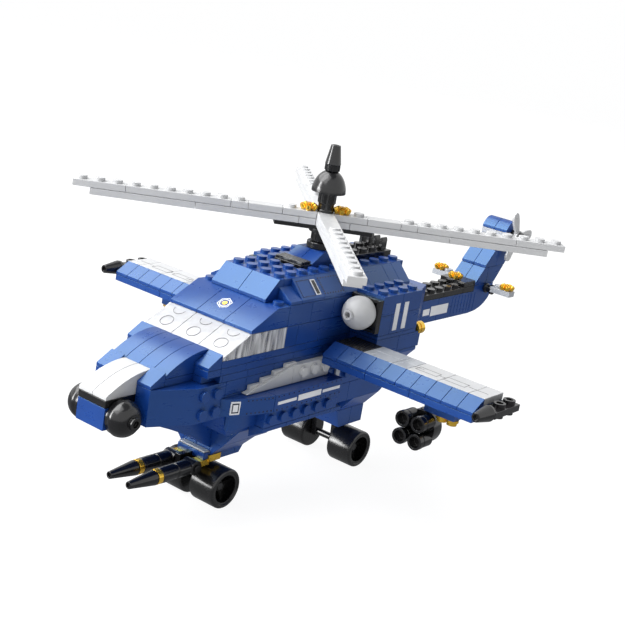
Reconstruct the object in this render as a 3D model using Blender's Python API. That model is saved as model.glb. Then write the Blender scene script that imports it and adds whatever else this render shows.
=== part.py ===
"""Toy attack helicopter built from studded plastic bricks, as separate named pieces.

Frame: +Z up, nose toward -Y, port side toward +X, wheels standing on Z = 0.
The origin is under the middle of the whole length. Places are written on the brick
grid: x and y in studs, z in plates above the cockpit floor. Functions gx, gy and gz
turn them into metres.
"""

import math

import bmesh
import bpy
from mathutils import Matrix, Vector

# ---------------------------------------------------------------- driving sizes, metres
STUD = 0.008              # pitch of the stud grid
PLATE = 0.0032            # height of one plate; a brick is three
STUD_RADIUS = 0.0024
STUD_HEIGHT = 0.0016
LIP = 0.0016              # upright edge at the foot of every slope piece
GAP = 0.0003              # space left between pieces that touch
RUN_CLEARANCE = 0.00008   # radial play of a wheel or rotor on its pin

WHEEL_RADIUS = 0.0094
WHEEL_WIDTH = 0.0144
WHEEL_PIN_RADIUS = 0.0018
CHIN_CLEARANCE = 0.0012    # wheel top up to the underside of the chin

ROTOR_RADIUS = 0.116      # mast axis to the end of an arm
ROTOR_YAW = math.radians(44)
MAST_RADIUS = 0.0042
SOCKET_RADIUS = 0.0024    # turning end of the mast, inside the mast base

TAIL_ROTOR_RADIUS = 0.0160
TAIL_PIN_RADIUS = 0.0014
GUN_RADIUS = 0.0035
GUN_LENGTH = 0.0376
GUN_BAR_RADIUS = 0.0015
STABILISER_SPAN = 0.0126
STABILISER_RING_RADIUS = 0.0028
STABILISER_PIN_RADIUS = 0.0012
BARREL_RADIUS = 0.0037    # rocket tubes
DOME_RADIUS = 0.0080

# ---------------------------------------------------------------- layout on the grid
NOSE_Y = -6               # front of the nose cap
NOSE_TOP = -1.4           # plates
CABIN_Y = 5               # back of the side windows
MAST_Y = 10.8
WING_Y = 8                # leading edge
WING_CHORD = 3
WING_TIP_X = 13.5
HULL_END_Y = 17           # full-width fuselage ends
BOOM_DECK_Y = 22
FIN_Y = 28.5
FIN_ROWS = 3
NACELLE_Y = WING_Y + WING_CHORD    # the engines start at the trailing edge
NACELLE_LENGTH = 4
NOSE_WHEEL_Y = 3.0
HULL_DEPTH = 11           # plates from the cockpit floor to the underside of the hull
REAR_WHEEL_Y = 14.8
SPONSON_Y = 12.7
SPONSON_END = 15.5
SPONSON_BOTTOM = -17
CHIN_FACE_Y = 2.4         # the gun bracket is fixed to the front of the chin here
CHIN_BOTTOM = -17.5

FLOOR_Z = 2 * WHEEL_RADIUS + CHIN_CLEARANCE - CHIN_BOTTOM * PLATE
FIN_BASE = 1              # plates, under the first row of fin slopes
FIN_TOP = FIN_BASE + 3 * FIN_ROWS - 1    # the last row is a plate lower
FIN_CAP_Y = FIN_Y + FIN_ROWS
TAIL_ROTOR_Y = FIN_CAP_Y + 1
HULL_HALF = 3             # half width of the fuselage in studs
BOOM_HALF = 1
DECK_HALF = 2
ROTOR_BOTTOM = 14.4       # plates
ROTOR_TOP = ROTOR_BOTTOM + 2
WING_TOP = 0
WING_BOTTOM = WING_TOP - 3
ROUND = 20                # sides of a round piece
SMALL_ROUND = 10          # sides of a stud

_front = NOSE_Y * STUD
_back = TAIL_ROTOR_Y * STUD + TAIL_ROTOR_RADIUS
MIDDLE_Y = (_front + _back) / 2


def gx(studs):
    return studs * STUD


def gy(studs):
    return studs * STUD - MIDDLE_Y


def gz(plates):
    return FLOOR_Z + plates * PLATE


def lip(plates_up):
    """Height of the top of a slope's lip, in plates, where the slope stands at plates_up."""
    return plates_up + LIP / PLATE


# ---------------------------------------------------------------- shapes
def hull_of(points, faces):
    """A closed shape from corner points in metres and faces."""
    shape = bmesh.new()
    corners = [shape.verts.new(p) for p in points]
    for face in faces:
        shape.faces.new([corners[i] for i in face])
    bmesh.ops.recalc_face_normals(shape, faces=shape.faces)
    return shape


def extruded(outline, place, low, high):
    """A prism: outline is 2-D, place(a, b, level) gives a point in metres."""
    count = len(outline)
    points = [place(a, b, low) for a, b in outline]
    points += [place(a, b, high) for a, b in outline]
    faces = [list(range(count)), list(range(2 * count - 1, count - 1, -1))]
    for i in range(count):
        j = (i + 1) % count
        faces.append([i, j, j + count, i + count])
    return hull_of(points, faces)


def brick(x0, x1, y0, y1, z0, z1):
    outline = [(x0, y0), (x1, y0), (x1, y1), (x0, y1)]
    return across_z(outline, z0, z1)


def across_x(outline, x0, x1):
    """A side outline of (y, z) carried from x0 to x1."""
    return extruded(outline, lambda y, z, x: (gx(x), gy(y), gz(z)), x0, x1)


def across_y(outline, y0, y1):
    """A front outline of (x, z) carried from y0 to y1."""
    return extruded(outline, lambda x, z, y: (gx(x), gy(y), gz(z)), y0, y1)


def across_z(outline, z0, z1):
    """A plan outline of (x, y) carried from z0 to z1."""
    return extruded(outline, lambda x, y, z: (gx(x), gy(y), gz(z)), z0, z1)


def turned(profile, centre, axis, sides=ROUND):
    """A closed solid of revolution. The profile is (radius, height along axis) in metres."""
    direction = Vector(axis).normalized()
    turn = Vector((0, 0, 1)).rotation_difference(direction).to_matrix()
    shape = bmesh.new()
    rings = []
    for radius, height in profile:
        if radius == 0:
            rings.append([shape.verts.new(Vector(centre) + direction * height)])
            continue
        ring = []
        for k in range(sides):
            angle = 2 * math.pi * (k + 0.5) / sides
            flat = Vector((radius * math.cos(angle), radius * math.sin(angle), height))
            ring.append(shape.verts.new(Vector(centre) + turn @ flat))
        rings.append(ring)
    joined = list(zip(rings, rings[1:] + rings[:1]))
    if len(rings[0]) == 1 and len(rings[-1]) == 1:
        joined = joined[:-1]
    for low, high in joined:
        for k in range(sides):
            n = (k + 1) % sides
            corners = [low[k % len(low)], low[n % len(low)], high[n % len(high)], high[k % len(high)]]
            distinct = list(dict.fromkeys(corners))
            if len(distinct) > 2:
                shape.faces.new(distinct)
    bmesh.ops.recalc_face_normals(shape, faces=shape.faces)
    return shape


def drum(centre, axis, radius, length, sides=ROUND):
    """A plain cylinder from centre along axis."""
    return turned([(0, 0), (radius, 0), (radius, length), (0, length)], centre, axis, sides)


def studs_at(xs, ys, z):
    """Upright studs standing on level z, sunk a little into the piece below."""
    sunk = GAP
    found = []
    for x in xs:
        for y in ys:
            foot = (gx(x), gy(y), gz(z) - GAP / 2 - sunk)
            found.append(drum(foot, (0, 0, 1), STUD_RADIUS, STUD_HEIGHT + sunk, SMALL_ROUND))
    return found


def side_studs_at(x, side, ys, zs):
    """Studs that point sideways out of a face at x."""
    found = []
    for y in ys:
        for z in zs:
            foot = (side * (gx(x) - GAP / 2 - GAP), gy(y), gz(z))
            found.append(drum(foot, (side, 0, 0), STUD_RADIUS, STUD_HEIGHT + GAP, SMALL_ROUND))
    return found


def spots(first, last):
    """Stud places half a stud in from each end of a run."""
    count = int(round(last - first))
    return [first + 0.5 + i for i in range(count)]


def curved_top(y0, y1, z0, z1, steps=5):
    """Side outline of a curved slope: a lip at y0, rising to level at y1."""
    outline = [(y1, z0), (y0, z0)]
    low = lip(z0)
    for i in range(steps + 1):
        t = i / steps
        outline.append((y0 + (y1 - y0) * t, z1 - (z1 - low) * (1 - t) ** 2))
    return outline


def slope_side(y_low, y_high, z0, z1, y_back=None):
    """Side outline of a straight slope with its lip at y_low, and a level top back to y_back."""
    outline = [(y_low, z0), (y_low, lip(z0)), (y_high, z1)]
    end = y_high if y_back is None else y_back
    if end != y_high:
        outline.append((end, z1))
    outline.append((end, z0))
    return outline


# ---------------------------------------------------------------- pieces from shapes
def mesh_from(name, shapes):
    mesh = bpy.data.meshes.new(name)
    joined = bmesh.new()
    for shape in shapes:
        part = bpy.data.meshes.new("part")
        shape.to_mesh(part)
        shape.free()
        joined.from_mesh(part)
        bpy.data.meshes.remove(part)
    joined.to_mesh(mesh)
    joined.free()
    return mesh


def combined(name, mesh, shapes, operation):
    """The mesh after a Boolean with all the shapes at once."""
    if not shapes:
        return mesh
    base = bpy.data.objects.new(name, mesh)
    tool = bpy.data.objects.new(name + "_tool", mesh_from(name + "_tool", shapes))
    for each in (base, tool):
        bpy.context.scene.collection.objects.link(each)
    change = base.modifiers.new("combine", "BOOLEAN")
    change.operation = operation
    change.solver = "EXACT"
    change.use_self = True
    change.object = tool
    bpy.context.view_layer.update()
    graph = bpy.context.evaluated_depsgraph_get()
    result = bpy.data.meshes.new_from_object(base.evaluated_get(graph))
    for each in (base, tool):
        bpy.data.objects.remove(each)
    return result


def drawn_in(mesh, amount):
    """Moves every face of the mesh inwards by amount, so neighbours on the grid don't touch."""
    shape = bmesh.new()
    shape.from_mesh(mesh)
    bmesh.ops.dissolve_limit(shape, angle_limit=math.radians(0.5), verts=shape.verts, edges=shape.edges)
    shape.normal_update()
    moves = {}
    for vert in shape.verts:
        planes = []
        for face in vert.link_faces:
            if all(face.normal.dot(other) < 0.9999 for other in planes):
                planes.append(face.normal.copy())
        matrix = Matrix(((0.0,) * 3,) * 3)
        pull = Vector((0.0, 0.0, 0.0))
        for normal in planes:
            for row in range(3):
                for column in range(3):
                    matrix[row][column] += normal[row] * normal[column]
            pull -= normal * amount
        for k in range(3):
            matrix[k][k] += 1e-5
        moves[vert] = matrix.inverted() @ pull
    for vert, move in moves.items():
        vert.co += move
    result = bpy.data.meshes.new(mesh.name)
    shape.to_mesh(result)
    shape.free()
    return result


def piece(name, shapes, material, extra=(), cuts=(), pivot=None, shrink=True):
    """One named object: grid shapes joined and drawn in, then exact extras joined and cuts taken out."""
    first, *others = shapes
    mesh = combined(name, mesh_from(name, [first]), others, "UNION")
    if shrink:
        mesh = drawn_in(mesh, GAP / 2)
    mesh = combined(name, mesh, list(extra), "UNION")
    mesh = combined(name, mesh, list(cuts), "DIFFERENCE")
    mesh.shade_smooth()
    mesh.set_sharp_from_angle(angle=math.radians(35))
    mesh.materials.clear()
    mesh.materials.append(material)
    made = bpy.data.objects.new(name, mesh)
    bpy.context.scene.collection.objects.link(made)
    if pivot is not None:
        mesh.transform(Matrix.Translation(-Vector(pivot)))
        made.location = pivot
    return made


def plastic(name, colour, roughness=0.3, alpha=1.0):
    made = bpy.data.materials.new(name)
    made.use_nodes = True
    shader = made.node_tree.nodes["Principled BSDF"]
    shader.inputs["Base Color"].default_value = (*colour, 1.0)
    shader.inputs["Roughness"].default_value = roughness
    shader.inputs["Metallic"].default_value = 0.0
    shader.inputs["Alpha"].default_value = alpha
    made.diffuse_color = (*colour, alpha)
    return made


def both_sides(build):
    """Calls build(side, suffix) for port (+X) and starboard (-X)."""
    for side, suffix in ((1, "port"), (-1, "starboard")):
        build(side, suffix)


def mirrored(outline, side):
    """A plan or front outline of (x, other) put on the given side."""
    return [(side * a, b) for a, b in outline]


# ---------------------------------------------------------------- the helicopter
def make_nose(blue, white, black):
    back = NOSE_Y + 3
    top = NOSE_TOP
    piece("nose_cap", [across_x(curved_top(NOSE_Y, back, top - 3, top), -1, 1)], white)
    piece("nose_plate", [brick(-1, 1, NOSE_Y, back, top - 4, top - 3)], black)
    piece("nose_block", [brick(-1, 1, NOSE_Y, NOSE_Y + 2, top - 7, top - 4)], blue)
    centre_y = NOSE_Y + 1

    def dome(side, suffix):
        shoulder = DOME_RADIUS * 0.25
        rise = DOME_RADIUS * 0.85
        top_radius = STUD_RADIUS * 1.15
        profile = [(0, 0), (DOME_RADIUS - GAP, 0), (DOME_RADIUS - GAP, shoulder)]
        for i in range(1, 6):
            angle = math.radians(90) * i / 6
            radius = top_radius + (DOME_RADIUS - top_radius) * math.cos(angle)
            profile.append((radius, shoulder + rise * math.sin(angle)))
        face = shoulder + rise
        profile += [(top_radius, face), (top_radius, face + STUD_HEIGHT)]
        profile += [(STUD_RADIUS * 0.6, face + STUD_HEIGHT), (STUD_RADIUS * 0.6, face), (0, face)]
        centre = (side * (gx(1) + GAP / 2), gy(centre_y), gz(NOSE_TOP - 5.4))
        piece(f"nose_dome_{suffix}", [turned(profile, centre, (side, 0, 0))], black, shrink=False)

    both_sides(dome)


def make_hull(blue):
    side_view = [
        (0.2, 0), (0.2, -9), (1.2, -HULL_DEPTH), (SPONSON_END, -HULL_DEPTH), (HULL_END_Y, -HULL_DEPTH + 3),
        (HULL_END_Y, 0),
    ]
    shapes = [
        across_x(side_view, -HULL_HALF, HULL_HALF),
        brick(-2, 2, 6.8, 10.8, -HULL_DEPTH - 1, -HULL_DEPTH + 0.1),
        brick(-2.6, 2.6, -1, 0.6, -3.1, -2),
        brick(-HULL_HALF, HULL_HALF, 0, 0.6, -2.1, 0),
        brick(-1.1, 1.1, -3, 0.6, -8, -3),
        brick(-1.1, 1.1, -4, -2.9, -8, NOSE_TOP - 4),
    ]
    for side in (1, -1):
        cheek = [(1, -4), (2, -4), (HULL_HALF, -1.6), (HULL_HALF, 0.6), (1, 0.6)]
        shapes.append(across_z(mirrored(cheek, side), -8, -3))
        x0, x1 = sorted((side * 2, side * HULL_HALF))
        shapes.append(brick(x0, x1, -1, 0.1, -2.1, -1))
        bilge = [(1.9, -HULL_DEPTH + 0.1), (HULL_HALF, -HULL_DEPTH + 0.1), (HULL_HALF, -HULL_DEPTH),
                 (2, -14), (1.9, -14)]
        shapes.append(across_y(mirrored(bilge, side), SPONSON_Y, SPONSON_END))
    sponson = [
        (SPONSON_Y - 1.5, -HULL_DEPTH + 0.1), (SPONSON_Y - 1.5, -HULL_DEPTH - 1), (SPONSON_Y, SPONSON_BOTTOM),
        (SPONSON_END, SPONSON_BOTTOM), (SPONSON_END, -HULL_DEPTH + 0.1),
    ]
    shapes.append(across_x(sponson, -2, 2))
    cheek_studs = []
    for side in (1, -1):
        cheek_studs += side_studs_at(HULL_HALF, side, (-1.1, -0.1), (-4.3, -6.8))
    piece("hull_tub", shapes, blue, extra=cheek_studs)

    hood = [
        across_x(curved_top(-3, 0, -2, 1), -2, 2),
        brick(-2, 2, -3, -1, -3, -1.9),
    ]
    for side in (1, -1):
        x0, x1 = sorted((side * 1, side * 2))
        hood.append(across_x(slope_side(-4, -3, -3, -1, -2.9), x0, x1))
        x0, x1 = sorted((side * 1.9, side * 3))
        hood.append(across_x(slope_side(-1, 0, -1, 1), x0, x1))
    piece("hood", hood, blue)

    keel = [
        (-3.2, -8), (-3.2, -8.6), (-1, -10.8), (0.8, -12.8), (CHIN_FACE_Y, -15.2), (CHIN_FACE_Y, CHIN_BOTTOM),
        (5, CHIN_BOTTOM), (6.5, -12), (6.5, -HULL_DEPTH), (1.2, -HULL_DEPTH), (0.2, -9), (0.2, -8),
    ]
    belly = [across_x(keel, -1, 1)]
    for side in (1, -1):
        shoulder = [(0.9, -HULL_DEPTH), (HULL_HALF, -HULL_DEPTH), (2, -14), (0.9, -14)]
        belly.append(across_y(mirrored(shoulder, side), CHIN_FACE_Y - 0.1, 6))
        jaw = [(0.9, -13.9), (2, -14), (1, -16.5), (0.9, -16.5)]
        belly.append(across_y(mirrored(jaw, side), CHIN_FACE_Y, 5))
    piece("chin_block", belly, blue)


def make_cockpit(clear, black):
    wall = 0.15
    top = 3
    front = [(0, 0), (0, lip(0)), (2, top), (2.3, top), (wall * 1.5, lip(0)), (wall * 1.5, 0)]
    shapes = [across_x(front, -HULL_HALF, HULL_HALF)]
    side_wall = [(0, 0), (0, lip(0)), (2, top), (CABIN_Y, top), (CABIN_Y, 0)]
    for side in (1, -1):
        x0, x1 = sorted((side * (HULL_HALF - wall), side * HULL_HALF))
        shapes.append(across_x(side_wall, x0, x1))
    piece("canopy", shapes, clear)
    seat = [(2.2, 0), (2.2, 1), (3.2, 1), (3.4, 2.6), (4.0, 2.6), (4.2, 0)]
    piece("pilot_seat", [across_x(seat, -1, 1)], black)


def make_cabin(blue, black):
    roof = [(2, 3), (2, lip(3)), (4, 6), (CABIN_Y + 0.1, 6), (CABIN_Y + 0.1, 3)]
    shapes = [
        across_x(roof, -HULL_HALF, HULL_HALF),
        brick(-HULL_HALF, HULL_HALF, CABIN_Y, HULL_END_Y, 0, 6),
    ]
    piece("cabin_block", shapes, blue, extra=studs_at((-2.5, 2.5), (4.5,), 6))

    deck = [across_x(slope_side(4, 5, 6, 9, HULL_END_Y), -DECK_HALF, DECK_HALF)]
    for side in (1, -1):
        low_slope = [(1.9, 6), (HULL_HALF, 6), (HULL_HALF, lip(6)), (2, 8), (1.9, 8)]
        full_slope = [(1.9, 6), (HULL_HALF, 6), (HULL_HALF, lip(6)), (2, 9), (1.9, 9)]
        deck.append(across_y(mirrored(low_slope, side), 5, 6.1))
        deck.append(across_y(mirrored(full_slope, side), 6, HULL_END_Y - 0.4))
    deck.append(across_x(slope_side(9, 10, 9, 11, 12), -1, 1))
    grille_y = 8
    deck_studs = studs_at((-1.5, -0.5, 0.5, 1.5), (5.5, 6.5, 7.5), 9)
    deck_studs += studs_at((-1.5, 1.5), spots(grille_y, 12), 9)
    deck_studs += studs_at((-1.5, 1.5), spots(13, HULL_END_Y), 9)
    piece("upper_deck", deck, blue, extra=deck_studs)
    piece("vent_grille", [brick(-1, 1, grille_y, grille_y + 1, 9, 10)], black)

    clips = [brick(-1, 1, 13, HULL_END_Y, 9, 10)]
    for x in (-0.5, 0.5):
        for jaw in (-0.26, 0.26):
            clips.append(brick(x + jaw - 0.12, x + jaw + 0.12, 16, 16.6, 9.9, 11.8))
    piece("clip_plate", clips, black, extra=studs_at((-0.5, 0.5), (13.5, 14.5), 10))


def make_rotor(white, black):
    axis = (0, gy(MAST_Y))
    base_top = 12
    base_radius = STUD * 0.78
    base_foot = gz(base_top - 1) + GAP / 2
    base_head = gz(base_top) - GAP / 2
    floor = GAP
    bore = SOCKET_RADIUS + RUN_CLEARANCE
    cup = [(0, base_foot), (base_radius, base_foot), (base_radius, base_head), (bore, base_head),
           (bore, base_foot + floor), (0, base_foot + floor)]
    piece("mast_base", [turned(cup, (*axis, 0), (0, 0, 1))], black, shrink=False)

    arm_bottom, arm_top = gz(ROTOR_BOTTOM), gz(ROTOR_TOP)
    mast_low = base_foot + floor + GAP
    mast_profile = [
        (0, mast_low), (SOCKET_RADIUS, mast_low), (SOCKET_RADIUS, base_head + GAP),
        (MAST_RADIUS, base_head + GAP), (MAST_RADIUS, arm_bottom - PLATE - GAP / 2),
        (0, arm_bottom - PLATE - GAP / 2),
    ]
    piece("rotor_mast", [turned(mast_profile, (*axis, 0), (0, 0, 1))], black,
          pivot=(*axis, mast_low), shrink=False)

    half = STUD / 2
    turn = Matrix.Translation((*axis, 0)) @ Matrix.Rotation(ROTOR_YAW, 4, "Z")

    def along(outline, across_arm):
        """A side outline of (distance from the mast, height) as a one-stud-wide arm."""
        def place(reach, height, side):
            local = (side, reach, height) if across_arm else (reach, side, height)
            return turn @ Vector(local)
        return extruded(outline, place, -half, half)

    def arm_studs(places, across_arm):
        found = []
        for place in places:
            foot = turn @ Vector((0, place, 0) if across_arm else (place, 0, 0))
            foot.z = arm_top - GAP / 2 - GAP
            found.append(drum(foot, (0, 0, 1), STUD_RADIUS, STUD_HEIGHT + GAP, SMALL_ROUND))
        return found

    step = (arm_bottom + arm_top) / 2
    tip, shelf = ROTOR_RADIUS, ROTOR_RADIUS - STUD
    pivot = (*axis, arm_bottom)
    stud_count = int((tip - 4 * STUD) / STUD) + 1
    places = [tip - half - STUD * i for i in range(stud_count)]
    places.append(2 * STUD)
    outline = [(-tip, step), (-tip, arm_top), (tip, arm_top), (tip, step), (shelf, step),
               (shelf, arm_bottom), (-shelf, arm_bottom), (-shelf, step)]
    studs = arm_studs(places + [-place for place in places], True)
    piece("rotor_spar", [along(outline, True)], white, extra=studs, pivot=pivot)

    def short_arm(side, suffix):
        ends = [(half, arm_bottom), (half, arm_top), (tip, arm_top), (tip, step), (shelf, step),
                (shelf, arm_bottom)]
        studs = arm_studs([side * place for place in places], False)
        arm = along(mirrored(ends, side), False)
        piece(f"rotor_arm_{suffix}", [arm], white, extra=studs, pivot=pivot)

    both_sides(short_arm)

    plate_reach = 2.9 * STUD
    plate_side = [(-plate_reach, arm_bottom - PLATE), (plate_reach, arm_bottom - PLATE),
                  (plate_reach, arm_bottom), (-plate_reach, arm_bottom)]
    piece("rotor_hub_plate", [along(plate_side, False)], black, pivot=pivot)

    rim_z = arm_top + 2.9 * PLATE
    rise = 3.15 * PLATE
    column_radius = MAST_RADIUS * 0.95
    wall = DOME_RADIUS * 0.16
    sweep = math.radians(72)
    shell = []
    for i in range(6):
        angle = sweep * i / 5
        shell.append((DOME_RADIUS * math.cos(angle), rim_z + rise * math.sin(angle) / math.sin(sweep)))
    profile = [(0, arm_top + GAP), (column_radius, arm_top + GAP), (column_radius, rim_z + PLATE),
               (DOME_RADIUS - wall, rim_z + PLATE), (DOME_RADIUS - wall, rim_z), *shell, (0, rim_z + rise)]
    piece("rotor_dome", [turned(profile, (*axis, 0), (0, 0, 1))], black, pivot=pivot, shrink=False)

    cone_foot = rim_z + rise + GAP
    collar, length = 0.9 * PLATE, 3.65 * PLATE
    cone = [
        (0, cone_foot), (STUD * 0.42, cone_foot), (STUD * 0.42, cone_foot + collar),
        (STUD * 0.47, cone_foot + collar), (STUD * 0.28, cone_foot + length), (0, cone_foot + length),
    ]
    piece("rotor_cone", [turned(cone, (*axis, 0), (0, 0, 1))], black, pivot=pivot, shrink=False)


def wheel_profile(width, bore):
    """Turned outline of a slick tyre on its rim, with a dished outer face."""
    edge = WHEEL_RADIUS * 0.1
    dish = WHEEL_RADIUS * 0.74
    depth = width * 0.35
    return [
        (bore, 0), (WHEEL_RADIUS - edge, 0), (WHEEL_RADIUS, edge), (WHEEL_RADIUS, width - edge),
        (WHEEL_RADIUS - edge, width), (dish, width), (dish, width - depth), (bore, width - depth),
    ]


def make_gear(black):
    bore = WHEEL_PIN_RADIUS + RUN_CLEARANCE

    def axle_set(name, wheel_name, y, inner, struts, top):
        """A carrier with wheel pins, and a wheel on each side of it."""
        centre = (0, gy(y), WHEEL_RADIUS)
        reach = inner + WHEEL_WIDTH * 0.75
        shapes = []
        for x0, x1 in struts:
            wide, narrow = STUD * 0.45, STUD * 0.3
            foot = WHEEL_RADIUS - narrow
            outline = [(gy(y) - wide, gz(top)), (gy(y) + wide, gz(top)), (gy(y) + narrow, foot),
                       (gy(y) - narrow, foot)]
            shapes.append(extruded(outline, lambda a, b, x: (x, a, b), x0 + GAP / 2, x1 - GAP / 2))
        pin = drum((-reach, *centre[1:]), (1, 0, 0), WHEEL_PIN_RADIUS, 2 * reach)
        first, *others = shapes
        piece(name, [first], black, extra=[*others, pin], shrink=False)

        def wheel(side, suffix):
            hub = (side * inner, centre[1], centre[2])
            profile = wheel_profile(WHEEL_WIDTH, bore)
            piece(f"{wheel_name}_{suffix}", [turned(profile, hub, (side, 0, 0), 28)], black,
                  pivot=hub, shrink=False)

        both_sides(wheel)

    strut = STUD * 0.28
    inner = strut + GAP
    axle_set("nose_wheel_carrier", "nose_wheel", NOSE_WHEEL_Y, inner, [(-strut, strut)], CHIN_BOTTOM)
    out, near = STUD * 0.95, STUD * 0.55
    legs = [(near, out), (-out, -near)]
    axle_set("rear_wheel_carrier", "rear_wheel", REAR_WHEEL_Y, out + GAP, legs, SPONSON_BOTTOM)


def make_sides(blue, white):
    def pod(side, suffix):
        plan = [(HULL_HALF, 0.3), (3.35, 0.8), (3.7, 1.7), (4.0, 2.9), (4.15, 3.6), (4.15, 9.5),
                (HULL_HALF, 9.5)]
        shapes = [across_z(mirrored(plan, side), -7.75, -5.25)]
        x0, x1 = sorted((side * HULL_HALF, side * 4))
        shapes.append(brick(x0, x1, 3, 9.5, -10, -7.7))
        foot = [(HULL_HALF, -12), (4, -11), (4, -9.9), (HULL_HALF, -9.9)]
        shapes.append(across_y(mirrored(foot, side), 3, 10))
        x0, x1 = sorted((side * HULL_HALF, side * 3.4))
        shapes.append(brick(x0, x1, 0.9, 3.1, -10, -7.7))
        studs = side_studs_at(4, side, spots(3, 9), (-8.5,))
        piece(f"side_pod_{suffix}", shapes, blue, extra=studs)
        wedge = [(1.9, -5.2), (9, -5.2), (9, -2.5), (5.7, -2.5), (1.9, -5.0)]
        x0, x1 = sorted((side * HULL_HALF, side * 3.4))
        studs = side_studs_at(3.4, side, spots(6, 9), (-3.7,))
        piece(f"side_wedge_{suffix}", [across_x(wedge, x0, x1)], white, extra=studs)

    both_sides(pod)


def make_wings(blue, white, black):
    trailing = WING_Y + WING_CHORD

    def wing(side, suffix):
        edge = [(WING_Y, WING_BOTTOM), (WING_Y, lip(WING_TOP - 2)), (WING_Y + 1, WING_TOP),
                (WING_Y + 1, WING_TOP - 1), (trailing, WING_TOP - 1), (trailing, WING_BOTTOM)]
        x0, x1 = sorted((side * 3.45, side * WING_TIP_X))
        root = [(HULL_HALF, WING_BOTTOM - 1.5), (4.5, WING_BOTTOM - 1.5), (8, WING_BOTTOM),
                (8, WING_BOTTOM + 0.5), (HULL_HALF, WING_BOTTOM + 0.5)]
        shapes = [across_x(edge, x0, x1), across_y(mirrored(root, side), WING_Y + 1.6, trailing)]
        piece(f"wing_{suffix}", shapes, blue)
        x0, x1 = sorted((side * (HULL_HALF + 0.5), side * WING_TIP_X))
        piece(f"wing_tiles_{suffix}", [brick(x0, x1, WING_Y + 1, trailing, WING_TOP - 1, WING_TOP)], white)

        middle_x = WING_TIP_X + 0.5
        x0, x1 = sorted((side * WING_TIP_X, side * (WING_TIP_X + 1)))
        body = [brick(x0, x1, WING_Y + 0.6, trailing + 0.3, -2, -1)]
        nose = (side * gx(middle_x), gy(WING_Y + 0.8), gz(-1.4))
        collar = STUD * 0.2
        cone_end = collar + 3 * PLATE
        profile = [(0, 0), (STUD * 0.46, 0), (STUD * 0.46, collar), (STUD * 0.26, cone_end), (0, cone_end)]
        cone = turned(profile, nose, (0, -1, 0))
        clips = []
        for y in (WING_Y + 1.6, WING_Y + 2.8):
            foot = (side * gx(middle_x), gy(y), gz(-1.3))
            clips.append(drum(foot, (0, 0, 1), STUD * 0.34, PLATE * 0.9, SMALL_ROUND))
        piece(f"wing_tip_{suffix}", body, black, extra=[cone, *clips])

        x0, x1 = sorted((side * 9.3, side * 11.3))
        front = trailing - 0.8
        outline = [(front, WING_BOTTOM - 3), (front, WING_BOTTOM), (trailing, WING_BOTTOM),
                   (trailing, WING_BOTTOM - 3)]
        piece(f"pylon_{suffix}", [across_x(outline, x0, x1)], blue)

        pod_x, pod_z = 9.2, WING_BOTTOM - 3 - GAP / PLATE
        centre_z = gz(pod_z) - DOME_RADIUS
        back = (side * gx(pod_x), gy(trailing + 0.5), centre_z)
        body_length = STUD * 1.2
        body = turned([(0, 0), (DOME_RADIUS * 0.75, 0), (DOME_RADIUS, STUD * 0.3), (DOME_RADIUS, body_length),
                       (0, body_length)], back, (0, -1, 0))
        tubes = []
        mouths = []
        spacing = 2 * BARREL_RADIUS + 3 * GAP
        for dx in (-0.5, 0.5):
            for dz in (-0.5, 0.5):
                start = Vector(back) + Vector((dx * spacing, -body_length + GAP * 2, dz * spacing))
                length = STUD * 1.2
                tubes.append(drum(start, (0, -1, 0), BARREL_RADIUS, length, 14))
                mouth = start + Vector((0, -length + STUD * 0.5, 0))
                mouths.append(drum(mouth, (0, -1, 0), BARREL_RADIUS * 0.66, STUD, 14))
        piece(f"rocket_pod_{suffix}", [body], black, extra=tubes, cuts=mouths, shrink=False)

    both_sides(wing)


def make_engines(blue, white, black):
    back = NACELLE_Y + NACELLE_LENGTH

    def engine(side, suffix):
        x0, x1 = sorted((side * HULL_HALF, side * 5))
        side_view = [(NACELLE_Y, 0), (NACELLE_Y, 7), (back, 7), (back, 1), (back + 0.6, 0.4), (back + 0.6, -2),
                     (NACELLE_Y, -2)]
        shapes = [across_x(side_view, x0, x1)]
        lower = [(HULL_HALF, -6), (3.8, -6), (5, -2.5), (5, -1.9), (HULL_HALF, -1.9)]
        shapes.append(across_y(mirrored(lower, side), NACELLE_Y, back + 0.4))
        studs = studs_at((side * 3.5, side * 4.5), spots(NACELLE_Y, back), 7)
        piece(f"nacelle_{suffix}", shapes, blue, extra=studs)
        depth = 0.4
        frame_shape = brick(x0, x1, NACELLE_Y - depth, NACELLE_Y, 1.5, 6.5)
        piece(f"intake_frame_{suffix}", [frame_shape], black)
        foot = gy(NACELLE_Y - depth) - GAP / 2
        shoulder = DOME_RADIUS * 0.45
        rise = DOME_RADIUS * 0.95
        profile = [(0, 0), (DOME_RADIUS * 0.9, 0), (DOME_RADIUS * 0.98, shoulder)]
        for i in range(1, 6):
            angle = math.radians(90) * i / 6
            profile.append((DOME_RADIUS * 0.98 * math.cos(angle), shoulder + rise * math.sin(angle)))
        face = shoulder + rise * 0.97
        profile += [(STUD_RADIUS, face), (STUD_RADIUS, face + STUD_HEIGHT)]
        profile += [(STUD_RADIUS * 0.55, face + STUD_HEIGHT), (STUD_RADIUS * 0.55, face), (0, face)]
        centre = (side * gx(4), foot, gz(4.2))
        piece(f"intake_dome_{suffix}", [turned(profile, centre, (0, -1, 0))], white, shrink=False)

    both_sides(engine)


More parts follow.
